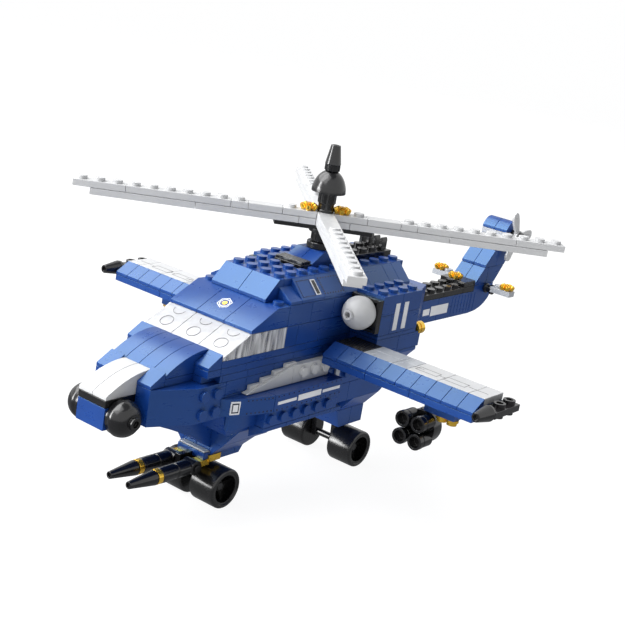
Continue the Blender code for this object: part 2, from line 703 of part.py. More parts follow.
def make_tail(blue, black, light_grey, white):
    boom_end = FIN_Y + 2.6
    boom = [(HULL_END_Y, -4), (FIN_Y - 0.3, -4), (FIN_Y + 1.3, -3.3), (FIN_Y + 2.2, -1.9), (boom_end, -0.4),
            (boom_end, 1), (FIN_Y, 1), (FIN_Y, 0), (HULL_END_Y, 0)]
    shapes = [across_x(boom, -BOOM_HALF, BOOM_HALF)]
    taper_end = BOOM_DECK_Y
    plan = [(-HULL_HALF, HULL_END_Y), (HULL_HALF, HULL_END_Y), (BOOM_HALF, taper_end), (-BOOM_HALF, taper_end)]
    shapes.append(across_z(plan, -5, 3))
    under = [(HULL_END_Y, -8), (HULL_END_Y + 2, -5), (HULL_END_Y + 2, -4), (HULL_END_Y, -4)]
    shapes.append(across_x(under, -2.4, 2.4))
    back_slope = [(HULL_END_Y, -1), (HULL_END_Y, 7), (HULL_END_Y + 2, 3.5), (taper_end, 0.5), (taper_end, -1)]
    shapes.append(across_x(back_slope, -BOOM_HALF, BOOM_HALF))
    pivot_y, pivot_z = stabiliser_pivot()
    pins = []
    for side in (1, -1):
        start = (side * (gx(BOOM_HALF) - GAP), pivot_y, pivot_z)
        pins.append(drum(start, (side, 0, 0), STABILISER_PIN_RADIUS, STUD * 0.85))
    piece("tail_boom", shapes, blue, extra=pins)

    deck = [brick(-BOOM_HALF, BOOM_HALF, BOOM_DECK_Y, FIN_Y, 0, 1),
            brick(-BOOM_HALF, BOOM_HALF, FIN_Y - 1.5, FIN_Y, 0.9, 2)]
    studs = studs_at((-0.5, 0.5), spots(BOOM_DECK_Y, FIN_Y - 1.5), 1)
    piece("boom_deck", deck, black, extra=studs)

    front, rear = [], []
    for row in range(FIN_ROWS):
        y, z = FIN_Y + row, FIN_BASE + 3 * row
        front += [(y, z), (y, lip(z)), (y + 1, min(z + 3, FIN_TOP))]
        rear.append((y + 2.6, z))
    rear.append((FIN_CAP_Y + 2.3, FIN_TOP))    # the last row leans a little less
    outline = list(dict.fromkeys(front)) + list(reversed(rear))
    piece("tail_fin", [across_x(outline, -BOOM_HALF, BOOM_HALF)], blue)
    cap_end = FIN_CAP_Y + 2
    piece("fin_plate", [brick(-BOOM_HALF, BOOM_HALF, FIN_CAP_Y, cap_end, FIN_TOP, FIN_TOP + 1)], light_grey)
    cap = slope_side(FIN_CAP_Y, FIN_CAP_Y + 1, FIN_TOP + 1, FIN_TOP + 3)
    piece("fin_cap", [across_x(cap, -BOOM_HALF, BOOM_HALF)], blue)

    hub_x = gx(BOOM_HALF) + GAP / 2
    centre = (hub_x, gy(TAIL_ROTOR_Y), gz(FIN_TOP + 0.5))
    flange, blade, head = STUD * 0.2, STUD * 0.3, STUD * 0.16
    pin = [
        (0, GAP / 2), (STUD * 0.42, GAP / 2), (STUD * 0.42, flange), (TAIL_PIN_RADIUS, flange),
        (TAIL_PIN_RADIUS, flange + blade + 2 * GAP), (STUD * 0.3, flange + blade + 2 * GAP),
        (STUD * 0.3, flange + blade + head), (0, flange + blade + head),
    ]
    piece("tail_rotor_pin", [turned(pin, centre, (1, 0, 0), 16)], black, shrink=False)
    blade_foot = Vector(centre) + Vector((flange + GAP, 0, 0))
    bore = TAIL_PIN_RADIUS + RUN_CLEARANCE
    hub = turned([(bore, 0), (STUD * 0.42, 0), (STUD * 0.42, blade), (bore, blade)], blade_foot, (1, 0, 0), 16)
    blades = []
    for k in range(3):
        turn = Matrix.Translation(blade_foot) @ Matrix.Rotation(math.radians(120 * k), 4, "X")
        blades.append(tail_blade(turn, bore, blade))
    piece("tail_rotor", [hub], white, extra=blades, pivot=tuple(blade_foot), shrink=False)

    def stabiliser(side, suffix):
        start = gx(BOOM_HALF) + GAP
        bore = STABILISER_PIN_RADIUS + RUN_CLEARANCE
        ring_end = STUD * 0.7
        profile = [(bore, 0), (STABILISER_RING_RADIUS, 0), (STABILISER_RING_RADIUS, ring_end), (bore, ring_end)]
        ring = turned(profile, (side * start, pivot_y, pivot_z), (side, 0, 0))
        x0 = start + STUD * 0.62
        cap_x = start + STUD * 0.9
        fore, aft = pivot_y - STUD * 0.5, pivot_y + STUD * 0.3
        outline = [(x0, fore), (x0 + STABILISER_SPAN, fore), (x0 + STABILISER_SPAN, aft), (x0, aft)]
        low = pivot_z - PLATE * 0.2
        slab = extruded(mirrored(outline, side), lambda x, y, z: (x, y, z), low, low + PLATE)
        bore_cut = drum((side * (start - GAP), pivot_y, pivot_z), (side, 0, 0),
                        bore, cap_x - start + GAP)
        piece(f"stabiliser_{suffix}", [ring], light_grey, extra=[slab], cuts=[bore_cut],
              pivot=(side * start, pivot_y, pivot_z), shrink=False)

    both_sides(stabiliser)


def stabiliser_pivot():
    return gy(FIN_Y + 1.5), gz(0.3)


def tail_blade(turn, bore, thickness):
    """One rounded propeller blade, its root overlapping the hub ring."""
    root, wide, tip = bore + STUD * 0.12, STUD * 0.36, TAIL_ROTOR_RADIUS
    outline = [(-STUD * 0.2, root), (-wide, tip * 0.55)]
    for k in range(5):
        angle = math.pi - math.pi * k / 4
        outline.append((wide * math.cos(angle), tip - wide + wide * math.sin(angle)))
    outline += [(wide, tip * 0.55), (STUD * 0.2, root)]
    inset = thickness * 0.2
    return extruded(outline, lambda a, b, x: turn @ Vector((x, b, a)), inset, thickness - inset)


def make_guns(black):
    bar_y, bar_z = gy(1.35), gz(-17.6)
    half = STUD * 1.25
    bracket = [brick(-1, 1, 1, CHIN_FACE_Y, -16.3, -15.5), brick(-0.2, 0.2, 1, CHIN_FACE_Y, -18, -15.9)]
    bar = drum((-half, bar_y, bar_z), (1, 0, 0), GUN_BAR_RADIUS, 2 * half)
    piece("gun_mount", bracket, black, extra=[bar])

    def gun(side, suffix):
        width = STUD * 0.85
        inner = STUD * 0.3
        pivot = (side * inner, bar_y, bar_z)
        knuckle = drum(pivot, (side, 0, 0), GUN_BAR_RADIUS * 2.2, width)
        axis_x = side * (inner + width / 2)
        start = (axis_x, bar_y, bar_z)
        length = GUN_LENGTH
        profile = [
            (0, 0), (GUN_RADIUS * 0.9, 0), (GUN_RADIUS * 0.9, length * 0.28), (GUN_RADIUS, length * 0.3),
            (GUN_RADIUS, length * 0.55), (GUN_RADIUS * 0.98, length * 0.6), (GUN_RADIUS * 0.45, length),
            (0, length),
        ]
        barrel = turned(profile, start, (0, -1, 0), 16)
        bore = GUN_BAR_RADIUS + RUN_CLEARANCE
        cut = drum((side * (inner - GAP), bar_y, bar_z), (side, 0, 0), bore, width + 2 * GAP)
        piece(f"gun_{suffix}", [knuckle], black, extra=[barrel], cuts=[cut], pivot=pivot, shrink=False)

    both_sides(gun)


def main():
    for old in list(bpy.data.objects):
        bpy.data.objects.remove(old)
    blue = plastic("blue_plastic", (0.012, 0.045, 0.28))
    white = plastic("white_plastic", (0.85, 0.86, 0.88))
    black = plastic("black_plastic", (0.01, 0.01, 0.011), 0.2)
    light_grey = plastic("light_grey_plastic", (0.45, 0.47, 0.5))
    clear = plastic("clear_plastic", (0.9, 0.93, 0.96), 0.05, 0.4)
    make_nose(blue, white, black)
    make_hull(blue)
    make_cockpit(clear, black)
    make_cabin(blue, black)
    make_rotor(white, black)
    make_gear(black)
    make_sides(blue, white)
    make_wings(blue, white, black)
    make_engines(blue, white, black)
    make_tail(blue, black, light_grey, white)
    make_guns(black)


main()
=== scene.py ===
"""Looks of the brick-built toy helicopter. Every brick is its own bevelled shape with a seam round it.

Places are on the brick grid: x and y in studs, z in plates above the cockpit floor. Outlines of turned shapes are
(radius, height) in metres.
"""

import math

import bmesh
import bpy
from mathutils import Matrix, Vector


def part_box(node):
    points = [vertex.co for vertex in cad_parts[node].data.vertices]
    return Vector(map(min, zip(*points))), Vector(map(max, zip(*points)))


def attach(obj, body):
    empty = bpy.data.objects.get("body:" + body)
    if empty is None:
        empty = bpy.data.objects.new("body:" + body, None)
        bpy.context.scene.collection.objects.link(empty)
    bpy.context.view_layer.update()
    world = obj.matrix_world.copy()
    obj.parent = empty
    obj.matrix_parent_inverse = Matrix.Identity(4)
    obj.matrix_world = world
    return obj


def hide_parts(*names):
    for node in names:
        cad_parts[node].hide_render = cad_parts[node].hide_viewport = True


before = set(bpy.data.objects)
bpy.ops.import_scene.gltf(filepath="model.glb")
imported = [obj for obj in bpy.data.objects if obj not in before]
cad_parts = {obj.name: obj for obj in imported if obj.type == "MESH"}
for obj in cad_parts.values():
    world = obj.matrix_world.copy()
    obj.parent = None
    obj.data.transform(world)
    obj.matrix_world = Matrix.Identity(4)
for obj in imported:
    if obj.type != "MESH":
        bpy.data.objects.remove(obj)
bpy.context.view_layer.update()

# ------------------------ the grid
STUD = 0.008
PLATE = 0.0032
GAP = 0.0003              # space between CAD pieces, half of it on each
SEAM = 0.00009            # how far each brick is drawn in,
SMALL = 0.00004           # a small piece,
FINE = 0.00003            # a detail on it
MARK = 0.00001            # and a printed mark
PLAY = 0.00008            # between a pin and its bore
BEVEL = 0.00017
STUD_RADIUS = 0.0024
STUD_HEIGHT = 0.0016
LIP = 0.5                 # plates, the upright edge at the foot of a slope
NOSE_Y = -6
MIDDLE_Y = NOSE_Y * STUD + GAP / 2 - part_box("nose_cap")[0].y
FLOOR_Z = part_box("canopy")[0].z - GAP / 2
DOME_RADIUS = 0.0080
ROTOR_YAW = math.radians(44)
ROTOR_REACH = 14.5
FLOWER_ARMS = 0           # the two opposite arms that carry gold flowers
MAST_Y = 10.8
MAST_RADIUS = 0.0045
SIDES = 40


def gx(studs):
    return studs * STUD


def gy(studs):
    return studs * STUD - MIDDLE_Y


def gz(plates):
    return FLOOR_Z + plates * PLATE


# ------------------------ plastics
def preset(made, **inputs):
    for name, value in inputs.items():
        made.inputs[name.replace("_", " ")].default_value = value


def node(tree, kind, at, **inputs):
    made = tree.nodes.new(kind)
    made.location = at
    preset(made, **inputs)
    return made


def noise(tree, at, vector, **inputs):
    made = node(tree, "ShaderNodeTexNoise", at, **inputs)
    tree.links.new(vector, made.inputs["Vector"])
    return made.outputs["Fac"]


def mapped(tree, at, value, source, target=(0.0, 1.0)):
    """The value with its source range mapped onto the target range."""
    made = node(tree, "ShaderNodeMapRange", at, From_Min=source[0], From_Max=source[1],
                To_Min=target[0], To_Max=target[1])
    tree.links.new(value, made.inputs["Value"])
    return made.outputs["Result"]


def stretched(tree, at, vector, scale):
    made = node(tree, "ShaderNodeMapping", at, Scale=scale)
    tree.links.new(vector, made.inputs["Vector"])
    return made.outputs["Vector"]


def plastic(name, colour, shade, rough, bump=0.03, metallic=0.0, shine=0.5, tint=(1, 1, 1)):
    """Moulded plastic: faint mottling, handling haze and a slight orange peel."""
    made = bpy.data.materials.new(name)
    made.use_nodes = True
    tree = made.node_tree
    link = tree.links.new
    shader = tree.nodes["Principled BSDF"]
    place = node(tree, "ShaderNodeTexCoord", (-1100, 0)).outputs["Object"]
    mottle = noise(tree, (-850, 300), place, Scale=55.0, Detail=4.0, Roughness=0.55)
    mix = tree.nodes.new("ShaderNodeMix")
    mix.data_type = "RGBA"
    mix.location = (-300, 300)
    preset(mix, A=(*colour, 1), B=(*shade, 1))
    link(mapped(tree, (-600, 300), mottle, (0.38, 0.66)), mix.inputs["Factor"])
    link(mix.outputs["Result"], shader.inputs["Base Color"])
    wiped = stretched(tree, (-980, -150), place, (1.0, 0.25, 2.2))
    haze = noise(tree, (-800, -100), wiped, Scale=160.0, Detail=6.0, Roughness=0.7)
    link(mapped(tree, (-560, -100), haze, (0.3, 0.7), rough), shader.inputs["Roughness"])
    peel = noise(tree, (-800, -400), place, Scale=900.0, Detail=2.0)
    sink = noise(tree, (-800, -620), place, Scale=90.0, Detail=1.0)
    height = node(tree, "ShaderNodeMath", (-560, -450))
    height.operation = "MULTIPLY_ADD"
    height.inputs[1].default_value = 0.12
    link(peel, height.inputs[0])
    link(sink, height.inputs[2])
    relief = node(tree, "ShaderNodeBump", (-300, -450), Strength=bump, Distance=0.001)
    link(height.outputs["Value"], relief.inputs["Height"])
    link(relief.outputs["Normal"], shader.inputs["Normal"])
    preset(shader, Specular_IOR_Level=shine, Specular_Tint=(*tint, 1), Metallic=metallic, IOR=1.53)
    made.diffuse_color = (*colour, 1)
    return made


def clear_plastic(name, see_through):
    """Clear polystyrene with faint upright flow streaks. see_through is the least and most light let in."""
    made = plastic(name, (0.80, 0.81, 0.83), (0.72, 0.73, 0.76), (0.1, 0.2), 0.0)
    tree = made.node_tree
    place = tree.nodes["Texture Coordinate"].outputs["Object"]
    flow = stretched(tree, (-980, -900), place, (1.0, 1.0, 0.12))
    streak = noise(tree, (-760, -900), flow, Scale=420.0, Detail=3.0)
    amount = mapped(tree, (-520, -900), streak, (0.35, 0.65), see_through)
    tree.links.new(amount, tree.nodes["Principled BSDF"].inputs["Transmission Weight"])
    return made


BLUE = plastic("blue_plastic_look", (0.005, 0.040, 0.235), (0.004, 0.034, 0.205), (0.26, 0.32),
               bump=0.008, shine=0.8, tint=(0.5, 0.85, 1))
WHITE = plastic("white_plastic_look", (0.58, 0.585, 0.59), (0.55, 0.555, 0.565), (0.28, 0.36), bump=0.01, shine=0.4)
BLACK = plastic("black_plastic_look", (0.005, 0.005, 0.006), (0.009, 0.009, 0.010), (0.13, 0.25), shine=0.6)
TYRE = plastic("black_tyre_look", (0.005, 0.005, 0.005), (0.010, 0.010, 0.011), (0.15, 0.3), 0.05, shine=0.6)
GREY = plastic("light_grey_look", (0.44, 0.46, 0.49), (0.38, 0.40, 0.43), (0.18, 0.32))
CLEAR = clear_plastic("clear_plastic_look", (0.42, 0.48))
CLEAR_SIDE = clear_plastic("clear_side_look", (0.15, 0.95))
GOLD = plastic("gold_plastic_look", (0.95, 0.62, 0.08), (0.80, 0.46, 0.04), (0.12, 0.28), 0.06, metallic=0.75)
PRINT_WHITE = plastic("white_print_look", (0.82, 0.83, 0.85), (0.70, 0.72, 0.76), (0.25, 0.42), 0.02)
PRINT_DARK = plastic("dark_print_look", (0.010, 0.014, 0.045), (0.02, 0.024, 0.06), (0.2, 0.35), 0.02)
PRINT_GREY = plastic("grey_print_look", (0.09, 0.09, 0.095), (0.14, 0.14, 0.145), (0.3, 0.45), 0.02)


# ------------------------ outlines
def drawn_in(outline, amount):
    """A closed 2-D outline with every side moved in by amount."""
    edges = list(zip(outline, outline[1:] + outline[:1]))
    turn = 1 if sum(a * d - b * c for (a, b), (c, d) in edges) > 0 else -1
    normals = []
    for (a, b), (c, d) in edges:
        length = math.hypot(c - a, d - b)
        normals.append((-(d - b) / length * turn, (c - a) / length * turn))
    moved = []
    for (x, y), (a, b), (c, d) in zip(outline, normals[-1:] + normals[:-1], normals):
        share = amount / max(0.35, 1 + a * c + b * d)
        moved.append((x + (a + c) * share, y + (b + d) * share))
    return moved


def block(a0, a1, b0, b1):
    return [(a0, b0), (a1, b0), (a1, b1), (a0, b1)]


def arc(centre, reach, first, last, steps):
    """Points of an ellipse round centre, from one angle in degrees to another."""
    angles = [math.radians(first + (last - first) * i / steps) for i in range(steps + 1)]
    return [(centre[0] + reach[0] * math.cos(t), centre[1] + reach[1] * math.sin(t)) for t in angles]


def straight(y_low, y_high, z0, z1, y_back=None):
    """Side view of a straight slope with a lip, and a flat top if y_back is given."""
    outline = [(y_low, z0), (y_low, z0 + LIP), (y_high, z1)]
    if y_back is not None:
        outline.append((y_back, z1))
    outline.append((y_high if y_back is None else y_back, z0))
    return outline


def curved(y0, y1, z0, z1, steps=12):
    """Side view of a curved slope that rises from a lip at y0 to level at y1."""
    outline = [(y1, z0), (y0, z0)]
    for i in range(steps + 1):
        t = i / steps
        outline.append((y0 + (y1 - y0) * t, z1 - (z1 - z0 - LIP) * (1 - t) ** 2))
    return outline


def flipped(outline, side):
    return [(side * a, b) for a, b in outline]


def spots(first, last):
    """The middle of each stud from first to last."""
    return [first + 0.5 + i for i in range(int(round(last - first)))]


def pair(name):
    return (f"{name}_port", f"{name}_starboard")


# ------------------------ pieces
UP = (0, 0, 1)


def placed(name, data):
    made = bpy.data.objects.new(name, data)
    bpy.context.scene.collection.objects.link(made)
    return made


def meshed(name, shape, look):
    data = bpy.data.meshes.new(name)
    shape.to_mesh(data)
    shape.free()
    data.shade_smooth()
    data.materials.append(look)
    return placed(name, data)


def upright(x, y, z):
    return (x, y, z)


def sideways(y, z, x):
    return (x, y, z)


def lengthwise(x, z, y):
    return (x, y, z)


class Piece:
    """One object of many closed shapes in one plastic, riding on a CAD body in place of CAD nodes."""

    def __init__(self, name, look, slot=None, nodes=(), body="fuselage"):
        self.name, self.body, self.look, self.slot, self.nodes = name, body, look, slot, nodes
        self.mesh = bmesh.new()
        self.turn = Matrix.Identity(4)

    def solid(self, points, faces):
        corners = [self.mesh.verts.new(self.turn @ Vector(p)) for p in points]
        made = [self.mesh.faces.new([corners[i] for i in face]) for face in faces]
        bmesh.ops.recalc_face_normals(self.mesh, faces=made)

    def slab(self, corners, normal, under, over):
        """A thin four-sided patch on a surface."""
        points = [corner + normal * lift for lift in (-under, over) for corner in corners]
        edges = [[i, (i + 1) % 4, (i + 1) % 4 + 4, i + 4] for i in range(4)]
        self.solid(points, [[0, 1, 2, 3], [4, 5, 6, 7], *edges])

    def prism(self, outline, place, low, high, inset=SEAM):
        outline = drawn_in(outline, inset)
        low, high = min(low, high) + inset, max(low, high) - inset
        count = len(outline)
        points = [place(a, b, low) for a, b in outline] + [place(a, b, high) for a, b in outline]
        faces = [list(range(count)), list(range(2 * count - 1, count - 1, -1))]
        for i in range(count):
            j = (i + 1) % count
            faces.append([i, j, j + count, i + count])
        self.solid(points, faces)

    def across_x(self, outline, x0, x1, inset=SEAM):
        self.prism([(gy(a), gz(b)) for a, b in outline], sideways, gx(x0), gx(x1), inset)

    def across_y(self, outline, y0, y1, inset=SEAM):
        self.prism([(gx(a), gz(b)) for a, b in outline], lengthwise, gy(y0), gy(y1), inset)

    def across_z(self, outline, z0, z1, inset=SEAM):
        self.prism([(gx(a), gy(b)) for a, b in outline], upright, gz(z0), gz(z1), inset)

    def panels(self, outline, first, last, width, inset=SEAM):
        """The same side view again and again across X."""
        for k in range(round((last - first) / width)):
            self.across_x(outline, first + k * width, first + (k + 1) * width, inset)

    def slopes(self, side, outline, seams):
        """The same front view end to end along Y, with joints at the seams."""
        for a, b in zip(seams, seams[1:]):
            self.across_y(flipped(outline, side), a, b)

    def brick(self, x0, x1, y0, y1, z0, z1, inset=SEAM):
        x0, x1 = sorted((x0, x1))
        self.across_z(block(x0, x1, y0, y1), z0, z1, inset)

    def row(self, x0, x1, seams, z0, z1):
        """Bricks end to end along Y."""
        for a, b in zip(seams, seams[1:]):
            self.brick(x0, x1, a, b, z0, z1)

    def span(self, side, seams, y0, y1, z0, z1):
        """Bricks end to end outwards along X."""
        for a, b in zip(seams, seams[1:]):
            self.brick(side * a, side * b, y0, y1, z0, z1)

    def turned(self, profile, centre, axis, sides=SIDES):
        """A closed solid of revolution."""
        spin = Vector(UP).rotation_difference(Vector(axis).normalized()).to_matrix()
        rings, points = [], []
        for radius, height in profile:
            count = 1 if radius == 0 else sides
            rings.append([len(points) + k for k in range(count)])
            for k in range(count):
                angle = 2 * math.pi * (k + 0.5) / sides
                flat = Vector((radius * math.cos(angle), radius * math.sin(angle), height))
                points.append(Vector(centre) + spin @ flat)
        joined = list(zip(rings, rings[1:] + rings[:1]))
        if len(rings[0]) == 1 and len(rings[-1]) == 1:
            joined = joined[:-1]
        faces = []
        for low, high in joined:
            for k in range(sides):
                n = (k + 1) % sides
                ring = (low[k % len(low)], low[n % len(low)], high[n % len(high)], high[k % len(high)])
                ring = list(dict.fromkeys(ring))
                if len(ring) > 2:
                    faces.append(ring)
        self.solid(points, faces)

    def drum(self, centre, axis, radius, length, sides=SIDES):
        self.turned(block(0, radius, 0, length), centre, axis, sides)

    def tube(self, centre, axis, inner, outer, length, sides=SIDES):
        self.turned(block(inner, outer, 0, length), centre, axis, sides)

    def around(self, centre, axis, count, first=0):
        """Repeats what the loop body adds, turned round an axis, with the first copy at an angle in degrees."""
        for k in range(count):
            angle = math.radians(first + 360 * k / count)
            self.turn = Matrix.Translation(centre) @ Matrix.Rotation(angle, 4, axis)
            yield k
        self.turn = Matrix.Identity(4)

    def ribs(self, axis, radius, low, high, count):
        """Upright ribs round a column."""
        for _ in self.around(axis, "Z", count):
            self.prism(block(radius - 0.0003, radius + 0.00028, low, high), lengthwise, -0.0004, 0.0004, 2 * MARK)

    def stud(self, foot, axis=UP):
        self.turned(block(0, STUD_RADIUS, -2 * SEAM, STUD_HEIGHT), foot, axis, 28)

    def studs(self, xs, ys, z):
        for x in xs:
            for y in ys:
                self.stud((gx(x), gy(y), gz(z) - SEAM))

    def side_studs(self, x, side, ys, zs):
        for y in ys:
            for z in zs:
                self.stud((side * (gx(x) - SEAM), gy(y), gz(z)), (side, 0, 0))

    def rivets(self, places, axis, radius=0.00045):
        for place in places:
            self.turned([(0, -0.0001), (radius, -0.0001), (radius * 0.8, 0.00012), (0, 0.0002)], place, axis, 10)

    def finish(self, bevel=BEVEL):
        made = meshed(self.name, self.mesh, self.look)
        made.data.set_sharp_from_angle(angle=math.radians(33))
        if bevel:
            edge = made.modifiers.new("bevel", "BEVEL")
            edge.width = bevel
            edge.segments = 2
            edge.limit_method = "ANGLE"
            edge.angle_limit = math.radians(28)
            edge.harden_normals = True
        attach(made, self.body)
        if self.nodes:
            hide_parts(*self.nodes)


# ------------------------ fuselage
def make_nose(blue, black):
    white = Piece("nose_slopes", WHITE, "white_plastic", ["nose_cap"])
    top = -1.4
    white.panels(curved(NOSE_Y + 0.03, -3, top - 3, top), -1, 1, 1)
    white.finish()
    black.brick(-1, 1, NOSE_Y + 0.03, -3, top - 4, top - 3)
    blue.brick(-1, 1, NOSE_Y + 0.04, -4, top - 7, top - 4)
    blue.brick(-0.9, 0.9, -4, -3, top - 7, top - 4)
    lamps = Piece("nose_lamps", BLACK, "black_plastic", [*pair("nose_dome")])
    dome = DOME_RADIUS - 0.00015
    shoulder, rise = dome * 0.25, dome * 0.85
    rim, bore = STUD_RADIUS * 1.15, STUD_RADIUS * 0.62
    face = shoulder + rise
    profile = [(0, 0), (dome - 0.0004, 0), (dome - 0.0004, shoulder * 0.8), (dome - 0.0002, shoulder),
               *arc((rim, shoulder), (dome - rim, rise), 0, 90, 14)[1:-1],
               (rim, face), (rim, face + STUD_HEIGHT), (bore, face + STUD_HEIGHT),
               (bore, face + 0.0002), (0, face + 0.0002)]
    for side in (1, -1):
        centre = (side * (gx(1) + 0.0002), gy(NOSE_Y + 1), gz(top - 5.4))
        lamps.turned(profile, centre, (side, 0, 0), 56)
    lamps.finish()


def make_hull(blue, grey):
    # courses of the fuselage below the cockpit floor
    blue.row(-3, 3, [0, 3.5, 7, 11, 14, 17], -1, 0)
    blue.row(-3, 3, [0, 2, 6, 10, 13, 17], -2, -1)
    blue.row(-3, 3, [0.6, 2.2, 4.4, 8, 10.5, 13, 17], -5, -3)
    blue.row(-3, 3, [0.2, 2.2, 4.4, 8, 10.5, 13, 17], -3, -2)
    blue.row(-3, 3, [0.6, 3, 7, 11, 14, 17], -8, -5)
    blue.across_x([(0.7, -8), (1.2, -11), (4, -11), (4, -8)], -3, 3)
    blue.row(-3, 3, [4, 8, 12], -11, -8)
    blue.across_x([(12, -11), (12, -8), (17, -8), (15.5, -11)], -3, 3)
    for x in (-2, 0):
        blue.row(x, x + 2, [6.8, 8.8, 10.8], -12, -11)
    # under and beside the hood
    blue.brick(-2.6, 2.6, -1, 0.2, -3, -2)
    blue.brick(-3, 3, 0, 0.2, -3, -2)
    blue.brick(-1, 1, -3, -1, -3, -2)
    blue.brick(-1, 1, -3, 0.6, -8, -3)
    blue.brick(-1, 1, -4, -3, -8, -5.4)
    for side in (1, -1):
        cheek = [(1, -4), (2, -4), (3, -1.6), (3, 0.6), (1, 0.6)]
        blue.across_z(flipped(cheek, side), -8, -3)
        blue.brick(side * 2, side * 3, -1, 0, -2, -1)
        blue.side_studs(3, side, (-1.1, -0.1), (-4.3, -6.8))
        blue.brick(side * 1, side * 2, -3, -1, -3, -2)
        blue.across_x(straight(-4, -3, -3, -1), side * 1, side * 2)
        blue.across_x(straight(-1, 0, -1, 1), side * 2, side * 3)
    blue.panels(curved(-3, 0, -2, 1), -2, 2, 1)
    # sponson that carries the rear wheels
    blue.panels([(11.2, -11), (11.2, -12), (12.7, -14), (15.5, -14), (15.5, -11)], -2, 2, 2)
    blue.across_x([(12.7, -14), (13.1, -16.9), (14.2, -16.9), (14.2, -14)], -2, 2)
    blue.brick(-2, 2, 14.2, 15.5, -16.9, -14)
    for side in (1, -1):
        blue.slopes(side, [(2, -11), (3, -11), (2, -14)], [12.7, 15.5])
    grey.brick(-1.9, 1.9, 15.2, 15.45, -17, -16.85, 2 * MARK)


def make_chin(blue, grey, gold):
    keel = [(-3.2, -8), (-3.2, -8.6), (-1, -10.8), (0.8, -12.8), (2.4, -15.2), (2.4, -15.7), (4.4, -15.7), (4.4, -11),
            (1.2, -11), (0.7, -8)]
    blue.panels(keel, -1, 1, 1)
    blue.brick(-1, 1, 2.4, 4.6, -17.4, -16.2)
    grey.brick(-1, 1, 2.42, 4.6, -16.2, -15.7)
    blue.across_x([(4.6, -17.4), (4.6, -11), (6.5, -11), (6.5, -12), (5, -17.4)], -1, 1)
    for side in (1, -1):
        blue.slopes(side, [(1, -11), (3, -11), (2, -14), (1, -14)], [2.3, 4.3, 6])
        blue.slopes(side, [(1, -14), (2, -14), (1, -16.5)], [2.4, 5])
        gold.brick(side * 1.0, side * 1.12, 2.35, 3.3, -17.3, -16.3, FINE)


# the slope of the windscreen and the roof panels: three plates up, lip to edge, in two studs
SLOPE = Vector((0, 2 * STUD, (3 - LIP) * PLATE)).normalized()
SLOPE_OUT = Vector((0, -SLOPE.z, SLOPE.y))


def make_cockpit():
    shell = Piece("canopy_panels", CLEAR, "clear_plastic", ["canopy"])
    wall = 0.16
    shell.panels([(0, 0), (0, LIP), (1.99, 3), (2.24, 3), (0.27, LIP), (0.27, 0)], -3, 3, 2, 0.00014)
    shell.finish(0.0001)
    shell = Piece("canopy_sides", CLEAR_SIDE, "clear_plastic")
    for side in (1, -1):
        for window in ([(0.3, 0), (0.3, 0.6), (1.95, 2.98), (3, 2.98), (3, 0)],
                       [(3, 0), (3, 2.98), (5, 2.98), (5, 0)]):
            shell.across_x(window, side * (3 - wall), side * 3, 0.00006)
    shell.finish(0.0001)
    # the stud tubes that show through the windscreen, whole ones below and half ones at the roof; the dark outline of
    # each tube's edge is painted shade, a grey ring on the panel
    rings = Piece("canopy_tubes", CLEAR, "clear_plastic")
    # painted shade: grey rings on the clear panel where the tube edges show dark
    rim = Piece("canopy_tube_edge_shade", PRINT_GREY)
    sunk, proud = 0.00012, 0.00002
    for x in (-2, 0, 2):
        whole, half = [Vector((gx(x), gy(2 * t), gz(LIP + (3 - LIP) * t))) for t in (0.42, 0.9)]
        rim.turned(block(0.00295, 0.00317, -sunk, proud), whole, SLOPE_OUT, 48)
        rings.tube(whole - SLOPE_OUT * 0.0016, SLOPE_OUT, 0.0024, 0.00325, 0.0009)
        half_ring(rim, half, 0.00315, 0.00022, sunk, proud)
    rings.finish(0)
    rim.finish(0)
    seat = Piece("pilot_bench", BLACK, "black_plastic", ["pilot_seat"])
    seat.brick(-1, 1, 2.2, 4.2, 0.05, 1)
    seat.panels([(3.3, 1), (3.45, 2.6), (4.0, 2.6), (4.15, 1)], -1, 1, 1)
    seat.studs((-0.5, 0.5), (2.7,), 1)
    seat.finish()


def half_ring(piece, middle, radius, width, sunk, proud):
    """The half of a tube's edge that shows below the roof line, drawn as a ring of painted shade in the given piece."""
    across = SLOPE.cross(SLOPE_OUT)
    points, faces = [], []
    steps = 24
    for i in range(steps + 1):
        angle = math.pi + math.pi * i / steps
        direction = across * math.cos(angle) + SLOPE * math.sin(angle)
        for reach, lift in block(radius - width, radius, -sunk, proud):
            points.append(middle + direction * reach + SLOPE_OUT * lift)
    for i in range(0, 4 * steps, 4):
        faces += [[i + k, i + (k + 1) % 4, i + 4 + (k + 1) % 4, i + 4 + k] for k in range(4)]
    piece.solid(points, [*faces, [0, 1, 2, 3], [4 * steps + k for k in range(4)]])


